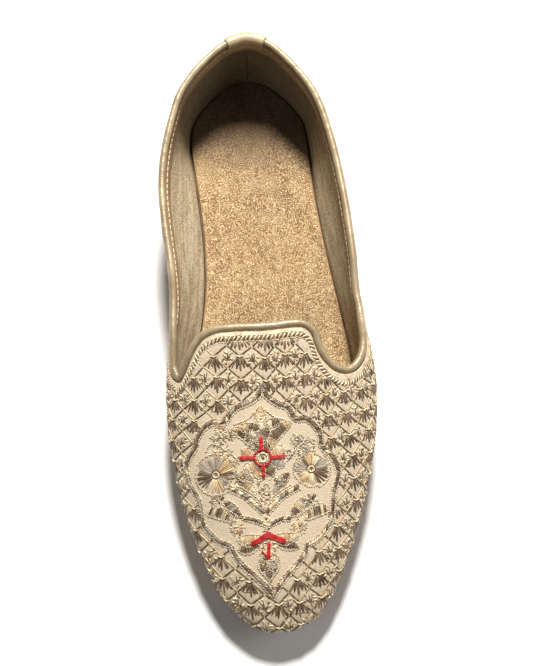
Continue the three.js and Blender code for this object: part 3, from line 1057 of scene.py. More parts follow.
def make_bottom():
    edge_leather = leather_finish("sole_leather", (134, 98, 62), (168, 128, 84), 700, 0.6)
    outsole = slab_piece(
        "outsole_leather", edge_leather, "sole_leather", OUTSOLE_MARGIN, sole_rise, outsole_top,
        OUTSOLE_ROUNDING,
    )
    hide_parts("outsole")
    pile = plush_finish("insole_plush", (118, 84, 50), (186, 150, 102), (252, 224, 176), (420, 420, 420), 0.2)

    def footbed(x, y, share):
        return -0.5 * np.sin(share * math.pi) ** 2 + 0.12 * np.sin(x * 0.31) * np.sin(y * 0.13)
    insole = slab_piece(
        "insole_pad", pile, "plush", -WALL - INSOLE_GAP, hem_height, insole_top, INSOLE_ROUNDING,
        across=60, relief=footbed, loops_around=528,
    )
    # painted shadow of the heel pocket on the insole
    paint_heel_shade(insole)
    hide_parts("insole")


make_bottom()

# %% [markdown]
# ## Embroidery
# All the thread is drawn on the flat pattern as short stitches, each from one point to another with
# a width, a height and a tone. They are kept in one list for each thread colour. At the end one
# Geometry Nodes tree puts a small rounded stitch on every entry, so thousands of stitches cost one
# shape.

# %% A stitch list
THREADS = {name: [] for name in ("bronze", "gold", "cream", "silver", "amber", "red")}
SHORTEST_STITCH, LONGEST_STITCH, SMOOTH_PARTS = 0.15, 14, 8
hand = random.Random(7)


def wobble(amount):
    return hand.uniform(-amount, amount)


def stitch(thread, start, end, width, height=None, lift=0.0, unsteady=0.0):
    """One stitch between flat points; nothing where it would fall beside the cloth."""
    start = (start[0] + wobble(unsteady), start[1] + wobble(unsteady))
    end = (end[0] + wobble(unsteady), end[1] + wobble(unsteady))
    found = [pattern.find(*start), pattern.find(*end)]
    if None in found:
        return
    (a, normal_a), (b, normal_b) = found
    length = np.linalg.norm(b - a)
    if not SHORTEST_STITCH <= length <= LONGEST_STITCH:
        return
    normal = normal_a + normal_b
    normal /= np.linalg.norm(normal)
    height = width * 0.7 if height is None else height
    middle = (a + b) / 2 + normal * (height * 0.25 + lift + SWELL * 0.5)
    THREADS[thread].append((middle, b - a, normal, (width, length, height), hand.random()))


def from_to(start, angle, length):
    """A point a length away; angle in degrees from straight down towards the lateral side."""
    turn = math.radians(angle)
    return (start[0] + math.sin(turn) * length, start[1] + math.cos(turn) * length)


def run_line(points, step):
    """Even steps along a flat line through points: places and directions."""
    points = np.asarray(points, float)
    run = np.concatenate([[0], np.cumsum(np.linalg.norm(np.diff(points, axis=0), axis=1))])
    count = max(2, int(round(run[-1] / step)) + 1)
    at = np.linspace(0, run[-1], count)
    places = np.stack([np.interp(at, run, points[:, k]) for k in (0, 1)], axis=-1)
    travel = np.gradient(places, axis=0)
    return places, travel / np.linalg.norm(travel, axis=1, keepdims=True)


def smooth_line(points):
    """The same line with its corners rounded."""
    points = np.asarray(points, float)
    padded = np.concatenate([2 * points[:1] - points[1:2], points, 2 * points[-1:] - points[-2:-1]])
    number = np.linspace(1, len(points), (len(points) - 1) * SMOOTH_PARTS + 1)
    return even_curve(padded, np.minimum(number, len(points) - 1e-6))


print("threads:", ", ".join(THREADS))

# %% [markdown]
# Fans, knots and cords stop short of the border and of the frame. The room left round a point is
# the shorter of its distances to those two lines.

# %% Where the ground stays plain
COLLAR_FLAT = grid_sample(FLAT, np.linspace(0, 1, 900), np.zeros(900))
BORDER_INSET, BORDER_WIDTH = 3.0, 2.3


def room_for(points):
    """Clear distance of each flat point from the border and the cartouche; negative inside them."""
    points = np.atleast_2d(np.asarray(points, float))
    gaps = [
        np.sqrt(((line[None] - points[:, None]) ** 2).sum(-1)).min(1)
        for line in (COLLAR_FLAT, CARTOUCHE_LINE)
    ]
    from_border = gaps[0] - BORDER_INSET - BORDER_WIDTH / 2 - 0.2
    from_rope = np.where(inside_cartouche(points), -1, 1) * gaps[1] - 1.2
    return np.minimum(from_border, from_rope)


def is_free(point, spare):
    return room_for(point)[0] > spare


CARTOUCHE_LINE = run_line(np.concatenate([CARTOUCHE, CARTOUCHE[:1]]), 0.8)[0]
print("cartouche rope is", round(len(CARTOUCHE_LINE) * 0.8), "mm long")

# %% [markdown]
# ### The lattice
# Fans of five dark bars hang from a pale bow at every other crossing. A small knot fills each
# diamond between them. The lattice's own lines are couched cords, kept as paths for later.

# %% Fans and knots
FAN_ANGLES, FAN_LONG, FAN_SHORT, FAN_WIDTH = (-40, -20, 0, 20, 40), 6.6, 5.3, 0.92
GROUND_COLUMNS, GROUND_ROWS = range(-21, 28), range(-3, 15)
# painted shade: cords this close to the ridge all get the dark, shaded copy of the cord thread
RIDGE_ACROSS, SHADED_HALF_WIDTH = -3, 14
CORD_PATHS = {"dark": [], "pale": []}


def crossing(column, row):
    """A lattice crossing, each a little out of place in its own fixed way."""
    own = random.Random(int(column * 2) * 1009 + int(row * 2))
    place_ = lattice_place(column, row)
    return place_ + (own.uniform(-0.45, 0.45), own.uniform(-0.45, 0.45))


def sew_fan(top, below, crossbar, shorter=0.0):
    """Five bars that spread from the crossing; a shorter fan comes out from under the border."""
    lean = math.degrees(math.atan2(below[0] - top[0], below[1] - top[1]))
    start = from_to(top, lean, 0.5 + shorter)
    for angle in FAN_ANGLES:
        side = angle / FAN_ANGLES[-1]
        long = (FAN_LONG if angle == 0 else FAN_SHORT) + wobble(0.6) - shorter * 0.8
        root = (start[0] + side * (1.3 + shorter * 0.4), start[1] + 0.15)
        thick = FAN_WIDTH + wobble(0.14) + (0.36 if abs(angle) < 30 else 0)
        stitch("bronze", root, from_to(root, lean + angle * 0.66 + wobble(5), long), thick, 0.8, unsteady=0.1)
    if shorter:
        return
    for side in (-1, 1):
        knot, tip = (top[0] + side * 0.1, top[1] + 0.3), (top[0] + side * 1.7, top[1] - 0.2)
        stitch("gold", knot, tip, 0.7, 0.8, 0.25)
    stitch("gold", (top[0] - 0.7, top[1] + 0.45), (top[0] + 0.7, top[1] + 0.45), 0.62, 0.75, 0.3)
    if crossbar:
        bar = from_to(top, lean, FAN_LONG * 0.76)
        stitch("bronze", (bar[0] - 3.4, bar[1]), (bar[0] + 3.4, bar[1]), 0.3, 0.35, 0.3)


def sew_knot(middle):
    foot = (middle[0], middle[1] + 1.7)
    for angle, long in ((180, 3.6), (146, 2.8), (-146, 2.8), (112, 1.8), (-112, 1.8)):
        stitch("bronze", foot, from_to(foot, angle + wobble(9), long), 0.8, 0.55, unsteady=0.2)
    for k in range(11):
        angle = 36 * k + wobble(16)
        root = from_to(middle, angle, 1.9 + wobble(0.5))
        thread = "gold" if k % 4 else "bronze"
        stitch(thread, root, from_to(root, angle + wobble(60), 1.7), 0.5, 0.65, 0.15, unsteady=0.3)


def sew_lattice():
    for column in GROUND_COLUMNS:
        for row in GROUND_ROWS:
            top, below = crossing(column, row), crossing(column, row + 1)
            if is_free(top, 0.2):
                if is_free(from_to(top, 0, 4), 0):
                    sew_fan(top, below, (row + column) % 3 == 0)
                continue
            for hidden in (2.0, 3.2, 4.4):
                if is_free(from_to(top, 0, hidden + 0.4), 0) and is_free(from_to(top, 0, hidden + 2.4), 0):
                    sew_fan(top, below, False, hidden)
                    break


def sew_knots_and_cords():
    for column in GROUND_COLUMNS:
        for row in GROUND_ROWS:
            middle = (crossing(column + 0.5, row - 0.5) + crossing(column + 0.5, row + 0.5)) / 2
            if is_free(middle, 1.6):
                sew_knot(middle)
            top, below = crossing(column, row), crossing(column, row + 1)
            for side in (-0.5, 0.5):
                corner = crossing(column + side, row + 0.5)
                for start, end in ((top, corner), (corner, below)):
                    add_cord(start, end)


def add_cord(start, end):
    """A couched cord between two crossings, as far as the ground is free for it."""
    inward = (end - start) * 0.07
    start, end = start + inward, end - inward
    steps = start + (end - start) * np.linspace(0, 1, 9)[:, None]
    free = steps[room_for(steps) > -0.3]
    if len(free) < 3:
        return
    places = [pattern.find(*step) for step in free[::2]]
    if None in places or len(places) < 2:
        return
    # painted highlight and shade: one cord thread comes in a pale, lit copy and a dark, shaded copy; cords
    # that close in on the ridge towards the toe get the pale one, as if lit by the lamp behind the heel, the
    # rest the dark one
    from_ridge = (start + end)[0] / 2 - RIDGE_ACROSS
    parts_from_ridge = (end - start)[0] * from_ridge > 0
    kind = "dark" if parts_from_ridge or abs(from_ridge) < SHADED_HALF_WIDTH else "pale"
    CORD_PATHS[kind].append([point + normal * (0.12 + SWELL * 0.3) for point, normal in places])


sew_lattice()
sew_knots_and_cords()
print(len(THREADS["bronze"]), "dark stitches,", sum(len(paths) for paths in CORD_PATHS.values()), "cords")

# %% [markdown]
# ### Border
# A rope of slanted stitches, dark and pale by turns, follows the piping a few millimetres away.

# %% Border


def collar_offset(distance, step):
    """Flat points a level distance inside the collar's edge, with their travel."""
    turns = np.arange(700) / 700
    falls = band_falls(turns, [distance])[0]
    line = grid_sample(FLAT, turns, falls)
    return run_line(line, step)


def sew_border():
    places, travel = collar_offset(BORDER_INSET, 1.0)
    for k, (point, along_) in enumerate(zip(places, travel)):
        across = np.array((along_[1], -along_[0]))
        slant = across * BORDER_WIDTH / 2 + along_ * 0.8
        thread = ("bronze", "gold")[k % 2]
        stitch(thread, point - slant, point + slant, 0.85 if k % 2 else 0.75, 0.7, unsteady=0.18)
    for distance in (BORDER_INSET - 1.3, BORDER_INSET + 1.5):
        places, travel = collar_offset(distance, 1.5)
        for point, along_ in zip(places, travel):
            stitch("gold", point - along_ * 0.55, point + along_ * 0.55, 0.42, 0.45, unsteady=0.2)


sew_border()
print({name: len(stitches) for name, stitches in THREADS.items()})

# %% [markdown]
# ### Cartouche
# The middle of the vamp is a pointed, lobed frame of satin rope in grey and brown, edged with a
# pale chain. Inside it are two thread-wheel flowers, arching leaves, stems, and a small cross and
# chevron in red.

# %% Rope and chain


def satin_rope(line, width, threads, step=0.8, slant=0.75, chain=0.0):
    """Slanted stitches across a line, in short runs of one thread after another."""
    places, travel = run_line(line, step)
    run = 0
    thread = threads[0]
    for point, along_ in zip(places, travel):
        if run <= 0:
            thread, run = hand.choice(threads), hand.randint(1, 4)
        run -= 1
        across = np.array((along_[1], -along_[0]))
        offset = across * width / 2 + along_ * slant
        stitch(thread, point - offset, point + offset, 0.7, 0.95, unsteady=0.16)
    if chain:
        for side in (-1, 1):
            chain_line(places + np.stack([travel[:, 1], -travel[:, 0]], -1) * side * (width / 2 + chain))


def chain_line(line, thread="cream", width=0.56, step=1.1):
    """Small loops that lean one way and the other, with a gap between them."""
    places, travel = run_line(line, step)
    for k, (point, along_) in enumerate(zip(places, travel)):
        turn = np.array((along_[1], -along_[0])) * (0.32 if k % 2 else -0.32)
        stitch(thread, point - along_ * 0.42 - turn, point + along_ * 0.42 + turn, width, 0.8, unsteady=0.12)


def sew_frame():
    for half, threads in ((CARTOUCHE_MEDIAL, ("bronze", "silver", "silver")),
                          (CARTOUCHE_LATERAL, ("bronze", "silver", "gold"))):
        smooth = smooth_line(half)
        top = smooth[:len(smooth) // 2]
        bottom = smooth[len(smooth) // 2:]
        satin_rope(top, 1.9, ("bronze", "bronze", "bronze", threads[1], "gold"), chain=0.45)
        satin_rope(bottom, 1.5, threads, chain=0.45)


sew_frame()
print("frame sewn:", len(THREADS["silver"]), "silver stitches")

# %% [markdown]
# A flower is a wheel of straight threads in sectors of changing colour. A leaf is a row of threads
# across a spine with a looped outline. A spray is a tuft of short curls in no order.

# %% Flowers and leaves


def sew_wheel(middle, sectors, inner, outer, turn=0.0):
    """A flower of threads that radiate from a small ring: (thread, degrees, reach) sectors."""
    angle = turn
    for thread, spread, reach in sectors:
        count = max(2, int(spread / 5.5))
        for k in range(count):
            at = angle + spread * (k + 0.5) / count
            bow = 1 - 0.16 * abs(2 * (k + 0.5) / count - 1) ** 2
            root, tip = from_to(middle, at, inner), from_to(middle, at + wobble(3), outer * reach * bow)
            stitch(thread, root, tip, 0.72, 0.6, unsteady=0.15)
        edge = [from_to(middle, angle + spread * k / 6, outer * reach + 0.4) for k in range(7)]
        chain_line(edge, "cream", 0.44, 1.1)
        angle += spread
    for k in range(9):
        at = 40 * k
        start, end = from_to(middle, at, inner * 0.75), from_to(middle, at + 48, inner * 0.75)
        stitch("gold", start, end, 0.6, 0.9, 0.2)
    stitch("bronze", from_to(middle, 0, 0.5), from_to(middle, 180, 0.5), 0.8, 0.6)


def sew_leaf(root, tip, width, threads, curl=0.0):
    """Stitches across a leaf from root to tip, and its chain; curl bends its spine sideways."""
    root, tip = np.array(root, float), np.array(tip, float)
    spine = tip - root
    side = np.array((spine[1], -spine[0])) / np.linalg.norm(spine)
    count = max(4, int(np.linalg.norm(spine) / 0.66))
    outlines = ([], [])
    for k in range(count + 1):
        share = k / count
        middle = root + spine * share + side * curl * math.sin(share * math.pi)
        half = width / 2 * math.sin(share * math.pi) ** 0.7 + 0.15
        lean = spine / np.linalg.norm(spine) * half * 0.35
        thread = threads[int(share * len(threads) * 0.999)]
        stitch(thread, middle - side * half, middle + side * half + lean, 0.66, 0.6, unsteady=0.12)
        outlines[0].append(middle - side * (half + 0.3))
        outlines[1].append(middle + side * (half + 0.3) + lean)
    for line in outlines:
        chain_line(line, "cream", 0.46, 1.0)


def sew_spray(middle, size, threads, count=26):
    """A loose tuft of short curly stitches."""
    for _ in range(count):
        angle, out = hand.uniform(0, 360), size * math.sqrt(hand.random())
        root = from_to(middle, angle, out)
        stitch(hand.choice(threads), root, from_to(root, hand.uniform(0, 360), 1.5), 0.5, 0.5, 0.1)


def sew_flowers():
    sew_wheel((-23.9, 67.2), (
        ("gold", 30, 1.0), ("amber", 42, 0.95), ("silver", 34, 0.75), ("bronze", 36, 0.95),
        ("amber", 44, 1.0), ("silver", 60, 1.0), ("silver", 50, 1.0), ("bronze", 64, 1.02),
    ), 1.9, 9.6, turn=-38)
    sew_wheel((20.2, 66.4), (
        ("bronze", 70, 1.0), ("silver", 44, 0.98), ("gold", 30, 0.8), ("amber", 40, 0.95),
        ("bronze", 26, 0.8), ("silver", 60, 0.9), ("amber", 52, 0.85), ("gold", 38, 0.9),
    ), 1.9, 8.8, turn=20)


sew_flowers()
print("flowers sewn:", len(THREADS["amber"]), "amber stitches")

# %% [markdown]
# Two stems rise from the middle like a V, with leaves beside and below them, and eight petals fill
# the corners of the red cross.

# %% Stems, leaves and the cross's petals
PETALS = (
    ((-1.8, 57.4), (-7.6, 51.8), ("bronze", "silver"), 5.2),
    ((-1.8, 57.4), (4.2, 51.6), ("bronze", "amber"), 5.2),
    ((-3.6, 59), (-11.6, 55.6), ("gold", "amber"), 4.4),
    ((0.2, 59), (8.6, 55.4), ("amber", "gold"), 4.4),
    ((-3.6, 61), (-10.8, 64.6), ("amber", "gold"), 4.2),
    ((0.2, 61), (7.8, 63.8), ("silver",), 4.2),
    ((-1.8, 61.8), (-5.6, 68.6), ("bronze", "amber"), 4.8),
    ((-1.8, 61.8), (2.2, 68.4), ("bronze",), 4.8),
)


def sew_inside():
    for side, end in ((-1, (-17.6, 73.4)), (1, (13.6, 74.2))):
        middle = ((end[0] - 2) / 2, (end[1] + 85.6) / 2 - 1.6)
        line = smooth_line([(-2 + 0.8 * side, 85), middle, end])
        satin_rope(line, 2.1, ("bronze", "gold", "bronze", "silver"), 0.66, 0.7, chain=0.4)
    for end in ((-12.4, 87.4), (9, 88.8)):
        satin_rope([(-0.9, 91.4), (end[0] * 0.6, 88.6), end], 1.4, ("bronze", "gold"), 0.66, 0.5, chain=0.35)
    striped = ("gold", "bronze", "gold", "bronze", "bronze", "gold", "bronze", "gold")
    for root, tip, curl in (((-17, 88.6), (-29.2, 85), -1.8), ((15.4, 89.4), (27.4, 86.4), 1.8)):
        sew_leaf(root, tip, 5.4, striped, curl)
    sew_leaf((-13.2, 86.8), (-20.6, 79.2), 5.0, ("bronze", "silver", "bronze"), 0.6)
    sew_leaf((9.6, 87.6), (15.8, 79.6), 4.2, ("bronze", "gold", "silver"), -0.6)
    for middle in ((-15.2, 92.8), (12.4, 93.6)):
        sew_spray(middle, 3.1, ("amber", "gold", "gold", "bronze"), 34)
    for middle in ((-24.6, 79.2), (18.4, 80.6)):
        sew_spray(middle, 2.2, ("gold", "bronze", "silver"), 18)
    for root, tip, threads, width in PETALS:
        sew_leaf(root, tip, width, threads, 0.3)
    sew_leaf((-3.6, 55.2), (-16.4, 45.2), 4.8, ("bronze", "bronze", "bronze", "amber"), -1.6)
    sew_leaf((0.8, 54.8), (12.4, 43.6), 4.6, ("bronze", "bronze", "bronze", "amber"), 1.6)
    sew_leaf((-6.6, 70.2), (-13.4, 66.6), 3.6, ("silver", "bronze", "amber"), 0.4)
    sew_leaf((2.6, 76.4), (9.8, 67.4), 3.8, ("silver", "silver", "bronze"), 0.6)
    sew_leaf((-5.8, 76.2), (-13.2, 70.0), 3.2, ("gold", "amber", "bronze"), -0.4)


sew_inside()
print("inside sewn:", sum(len(s) for s in THREADS.values()), "stitches so far")

# %% [markdown]
# The top and bottom of the frame hold half flowers. Small blossoms and looped curls fill the silk
# between the large motifs, which keeps the plain ground to a few small fields.

# %% Upper and lower flowers, sprays
BLOSSOMS = (
    ((-21.5, 46.2), 3.4, ("cream", "amber", "gold")), ((14.6, 52), 3.2, ("silver", "gold", "cream")),
    ((-22.6, 79.8), 3.6, ("gold", "bronze", "cream")), ((19, 81.4), 3.8, ("cream", "bronze", "silver")),
    ((-15.4, 91.4), 3.4, ("amber", "cream", "gold")), ((13.4, 92.2), 3.6, ("cream", "gold", "amber")),
    ((-11.6, 68.6), 3.4, ("cream", "silver", "bronze")), ((5.4, 70.6), 2.8, ("silver", "cream", "bronze")),
    ((-21.4, 57.4), 3.2, ("gold", "cream", "amber")), ((17.4, 57.2), 3.2, ("silver", "cream", "gold")),
    ((-2, 41), 3.2, ("gold", "cream", "amber")),
)
CURLS = (
    ((-28.6, 56), (-26.4, 52.6), (-22.6, 53.4), (-17.4, 56.6), (-13, 60.4)),
    ((22.8, 54.6), (19, 52.4), (15.6, 55), (11.6, 58.6), (9.6, 61.4)),
    ((-14.4, 72.4), (-10, 74.6), (-5.4, 78.4), (-2.4, 83)),
    ((10, 73), (6, 75.2), (1.4, 78.6), (-1.2, 83)),
    ((-25.6, 82), (-20, 83.2), (-14.6, 86.6)),
    ((22.6, 84), (17.6, 85), (12.4, 88.2)),
    ((-2, 103.4), (-5.8, 106.6), (-6.4, 111.4), (-2.2, 116.8)),
    ((-1.4, 103.4), (2.4, 106.6), (2.8, 111), (-1.6, 116.8)),
    ((-14.8, 43.4), (-9, 41.4), (-4.6, 38)),
    ((9.8, 42.2), (4.4, 40.4), (0.6, 37.4)),
)


def sew_blossom(middle, size, threads):
    """A small flower: short threads from a knot, three colours by turns, with looped tips."""
    petals = 14
    for k in range(petals):
        angle = 360 / petals * k + wobble(6)
        tip = from_to(middle, angle, size * (0.85 if k % 2 else 1) + wobble(0.3))
        stitch(threads[k * 3 // petals % 3], from_to(middle, angle, 0.8), tip, 0.62, 0.6, unsteady=0.16)
        if k % 2:
            stitch("cream", tip, from_to(tip, angle + 90, 1.0), 0.46, 0.6, 0.2)
    stitch("cream", from_to(middle, 90, 0.6), from_to(middle, 270, 0.6), 1.0, 0.9, 0.3)


def sew_ends():
    for tip, threads in (((-2, 35.6), ("gold", "amber")), ((-12.6, 44.8), ("bronze", "amber")),
                         ((7.4, 43), ("gold", "bronze"))):
        sew_leaf((-2, 45.8), tip, 4.4, threads, 0.2)
    sew_leaf((-1.6, 53), (1.4, 43.8), 4.6, ("silver", "bronze", "bronze"), 0.6)
    sew_leaf((-2.6, 53), (-7.4, 46.6), 3.2, ("silver", "gold"), 0.3)
    sew_spray((-7.6, 50), 3.0, ("silver", "gold", "amber"), 22)
    for middle, size in (((-22.4, 51), 3.4), ((-20.4, 57), 3.6), ((-16.2, 47.4), 2.8), ((-14.4, 61), 2.6)):
        sew_spray(middle, size, ("gold", "silver", "bronze", "amber"), 30)
    for middle, size in (((15.2, 51.4), 2.8), ((16.4, 57), 3.4), ((20.6, 54.4), 2.8), ((11, 58.4), 2.6)):
        sew_spray(middle, size, ("silver", "gold", "bronze", "silver"), 28)
    for k in range(12):
        down = 70 + k * 1.25
        sew_spray((-2 + wobble(0.5), down), 1.3 + 0.14 * (12 - k), ("gold", "gold", "bronze", "silver"), 7)
    for side in (-1, 1):
        root, tip = (-1.6 + side * 1.2, 97.2), (-1.6 + side * 13.6, 97.4)
        sew_leaf(root, tip, 5.0, ("gold", "amber", "gold"), -side)
        sew_leaf((-1.6 + side * 4, 100.6), (-1.6 + side * 13.4, 102.6), 3.8, ("bronze",), 0.4)
    sew_spray((-1.8, 101.8), 4.0, ("gold", "amber", "bronze", "gold"), 60)
    sew_spray((-1.8, 106), 4.4, ("gold", "amber", "gold", "gold"), 60)
    sew_leaf((-3.4, 106), (-4.8, 113), 4.0, ("bronze",), 0.4)
    sew_leaf((-0.6, 107), (0.8, 112.8), 3.4, ("silver", "silver", "bronze"), -0.4)
    sew_leaf((-2, 110), (-2, 116.4), 3.0, ("bronze",))
    for point in ((-0.9, 88.6), (-1.2, 93.2), (-1.4, 118.6), (-0.8, 121)):
        sew_spray(point, 1.3, ("gold", "bronze"), 8)
    for middle, size, threads in BLOSSOMS:
        sew_blossom(middle, size, threads)
    for line in CURLS:
        chain_line(smooth_line(line), "cream", 0.6, 0.9)
    chain_line([(-1, 25.4), (-1.1, 29), (-0.9, 32)], "gold", 0.5, 0.8)
    chain_line([(-1.6, 25), (-1.8, 29)], "bronze", 0.5, 1.0)
    chain_line([(-0.4, 25), (-0.3, 29)], "bronze", 0.5, 1.0)


sew_ends()
print("ends sewn:", sum(len(s) for s in THREADS.values()), "stitches so far")

# %% [markdown]
# The only strong colour is a red ring with four arms and a small red roof below it. Each is laid
# with several strands side by side, over the other threads.

# %% Red thread


def red_bar(start, end, width, strands=4):
    start, end = np.array(start, float), np.array(end, float)
    spine = end - start
    side = np.array((spine[1], -spine[0])) / np.linalg.norm(spine)
    for k in range(strands):
        offset = side * (k / (strands - 1) - 0.5) * width
        for a, b in ((0, 0.55), (0.45, 1)):
            first, last = start + spine * a + offset, start + spine * b + offset
            stitch("red", first, last, 0.62, 0.85, 0.45, unsteady=0.12)


def sew_red():
    middle, radius = (-1.9, 59.4), 3.9
    for k in range(22):
        at = 360 / 22 * k
        start = from_to(middle, at, radius - 0.35 + wobble(0.2))
        stitch("red", start, from_to(middle, at + 21, radius + 0.35 + wobble(0.2)), 0.75, 1.0, 0.45)
    red_bar((-2.2, 56), (-2.5, 49.6), 1.3)
    red_bar((-5.4, 59.3), (-12.8, 59.2), 1.1)
    red_bar((1.6, 59.6), (8.6, 59.2), 1.0)
    red_bar((-1.9, 63), (-1.9, 69.2), 1.0)
    for k in range(8):
        stitch("gold", from_to(middle, 45 * k, 2.3), from_to(middle, 45 * k + 50, 2.3), 0.6, 0.8, 0.2)
    stitch("bronze", from_to(middle, 30, 1), from_to(middle, 210, 1), 1.2, 0.7, 0.1)
    red_bar((-0.6, 95.2), (-9, 100), 1.9, 5)
    red_bar((-2.2, 95.2), (6.2, 99.4), 1.9, 5)
    red_bar((-1.3, 99), (-1.7, 107.6), 0.9, 3)
    red_bar((-4.6, 102.8), (-2, 106.4), 0.3, 2)


sew_red()
print({name: len(stitches) for name, stitches in THREADS.items()})

# %% [markdown]
# ### From list to thread
# The tree turns each point to its stitch: first the long axis along the thread, then the top away
# from the cloth. The stitch itself is a small ball of two dozen faces, stretched to the thread's
# length. Every instance is made real at the end, so that the piece is a plain mesh.

# %% The stitching tree
STITCH_SEGMENTS, STITCH_RINGS, STITCH_FULLNESS = 6, 4, 1.06


def tree_node(tree, kind, settings=(), inputs=()):
    made = tree.nodes.new(kind)
    for key, value in dict(settings).items():
        setattr(made, key, value)
    for key, value in dict(inputs).items():
        if isinstance(value, bpy.types.NodeSocket):
            tree.links.new(value, made.inputs[key])
        else:
            made.inputs[key].default_value = value
    return made


def named_value(tree, name, kind):
    return tree_node(tree, "GeometryNodeInputNamedAttribute", {"data_type": kind}, {"Name": name}).outputs[0]


def new_tree(name, **inputs):
    """A tree that takes a mesh and its named inputs and gives a mesh, with the inputs' sockets."""
    tree = bpy.data.node_groups.new(name, "GeometryNodeTree")
    tree.interface.new_socket("Geometry", in_out="INPUT", socket_type="NodeSocketGeometry")
    for label, kind in inputs.items():
        tree.interface.new_socket(label, in_out="INPUT", socket_type=f"NodeSocket{kind}")
    tree.interface.new_socket("Geometry", in_out="OUTPUT", socket_type="NodeSocketGeometry")
    return tree, tree.nodes.new("NodeGroupInput").outputs


def end_tree(tree, mesh, finish):
    """Make every instance real, put the finish on and join up the tree's output."""
    real = tree_node(tree, "GeometryNodeRealizeInstances", {}, {"Geometry": mesh})
    dressed = tree_node(tree, "GeometryNodeSetMaterial", {}, {
        "Geometry": real.outputs[0], "Material": finish,
    })
    result = tree.nodes.new("NodeGroupOutput")
    tree.links.new(dressed.outputs[0], result.inputs[0])
    return tree


def stitching_tree():
    tree, given = new_tree("stitching", Segments="Int", Rings="Int", Fullness="Float", Finish="Material")
    ball = tree_node(tree, "GeometryNodeMeshUVSphere", {}, {
        "Segments": given["Segments"], "Rings": given["Rings"], "Radius": 0.5,
    })
    smooth = tree_node(tree, "GeometryNodeSetShadeSmooth", {}, {"Geometry": ball.outputs["Mesh"]})
    stand = tree_node(tree, "FunctionNodeAlignRotationToVector", {"axis": "Z"}, {
        "Vector": named_value(tree, "aim", "FLOAT_VECTOR"),
    })
    roll = tree_node(tree, "FunctionNodeAlignRotationToVector", {"axis": "Y", "pivot_axis": "Z"}, {
        "Rotation": stand.outputs[0], "Vector": named_value(tree, "out", "FLOAT_VECTOR"),
    })
    size = tree_node(tree, "ShaderNodeVectorMath", {"operation": "SCALE"}, {
        0: named_value(tree, "size", "FLOAT_VECTOR"), "Scale": given["Fullness"],
    })
    sewn = tree_node(tree, "GeometryNodeInstanceOnPoints", {}, {
        "Points": given["Geometry"], "Instance": smooth.outputs[0], "Rotation": roll.outputs[0],
        "Scale": size.outputs[0],
    })
    return end_tree(tree, sewn.outputs[0], given["Finish"])


def grown(name, mesh, tree, values):
    """The plain mesh that a tree makes from a mesh, as a new object."""
    seed = bpy.data.objects.new(name, mesh)
    bpy.context.collection.objects.link(seed)
    modifier = seed.modifiers.new("grow", "NODES")
    modifier.node_group = tree
    sockets = {item.name: item.identifier for item in tree.interface.items_tree if item.in_out == "INPUT"}
    for label, value in values.items():
        modifier[sockets[label]] = value
    evaluated = seed.evaluated_get(bpy.context.evaluated_depsgraph_get())
    made = bpy.data.meshes.new_from_object(evaluated)
    made.name = name
    seed.modifiers.remove(modifier)
    seed.data = made
    return seed


STITCHING = stitching_tree()
print("stitching tree has", len(STITCHING.nodes), "nodes")

# %% [markdown]
# Metal-wrapped threads are smooth and slightly metallic, with dark flecks where the core shows.
# Every stitch has its own stored tone, so that neighbours differ.

# %% Thread finishes


def thread_finish(name, dark, light, metallic, roughness):
    """Metal-wrapped thread: a tone for each stitch, and the wrap's fine ridges."""
    material, where = new_finish(name)
    tone = attribute(where, "tone")
    fleck = noise(where, FLECKS_A_METRE, 2)
    colour = mix((tone * 0.8 + fleck * 0.5 - 0.12).clip(), dye(*dark), dye(*light))
    return set_shader(material, {
        "Base Color": colour,
        "Roughness": roughness + fleck * 0.15,
        "Normal": bump(noise(where, 2400, 1), 0.00012, 0.8),
    }, {"Metallic": metallic})


THREAD_FINISHES = {
    "bronze": thread_finish("bronze_thread", (72, 55, 41), (148, 124, 99), 0.35, 0.42),
    "gold": thread_finish("gold_thread", (196, 174, 134), (246, 230, 198), 0.3, 0.36),
    "cream": thread_finish("cream_thread", (158, 138, 108), (244, 230, 204), 0.3, 0.38),
    "silver": thread_finish("silver_thread", (112, 103, 90), (190, 178, 158), 0.3, 0.45),
    "amber": thread_finish("amber_thread", (170, 132, 88), (236, 208, 162), 0.3, 0.4),
    "red": thread_finish("red_thread", (160, 16, 18), (206, 34, 34), 0.0, 0.5),
}

# %% [markdown]
# Each thread's list becomes one mesh of points with the stitch's aim, outward side, size and tone
# stored on them. The tree grows the stitches, and the result is kept as a plain mesh.

# %% Sewing the threads


def sew_piece(name, stitches):
    mesh = bpy.data.meshes.new(name)
    mesh.from_pydata([tuple(middle * MM) for middle, *_ in stitches], [], [])
    for column, label in enumerate(("aim", "out", "size"), start=1):
        stored = mesh.attributes.new(label, "FLOAT_VECTOR", "POINT")
        values = np.array([entry[column] for entry in stitches], float)
        if label == "size":
            values = values[:, [0, 2, 1]] * MM
        stored.data.foreach_set("vector", values.ravel())
    stored = mesh.attributes.new("tone", "FLOAT", "POINT")
    stored.data.foreach_set("value", np.array([entry[4] for entry in stitches], float))
    piece = grown(f"{name}_stitches", mesh, STITCHING, {
        "Segments": STITCH_SEGMENTS, "Rings": STITCH_RINGS, "Fullness": STITCH_FULLNESS,
        "Finish": THREAD_FINISHES[name],
    })
    declare(piece, "thread")


for thread_name, thread_stitches in THREADS.items():
    sew_piece(thread_name, thread_stitches)

# %% [markdown]
# ### Couched cords
# The lattice's lines are cords laid on the cloth, so each is a path with a round section. A second
# small tree turns the paths into curves and sweeps the section along them.

# %% The cord tree


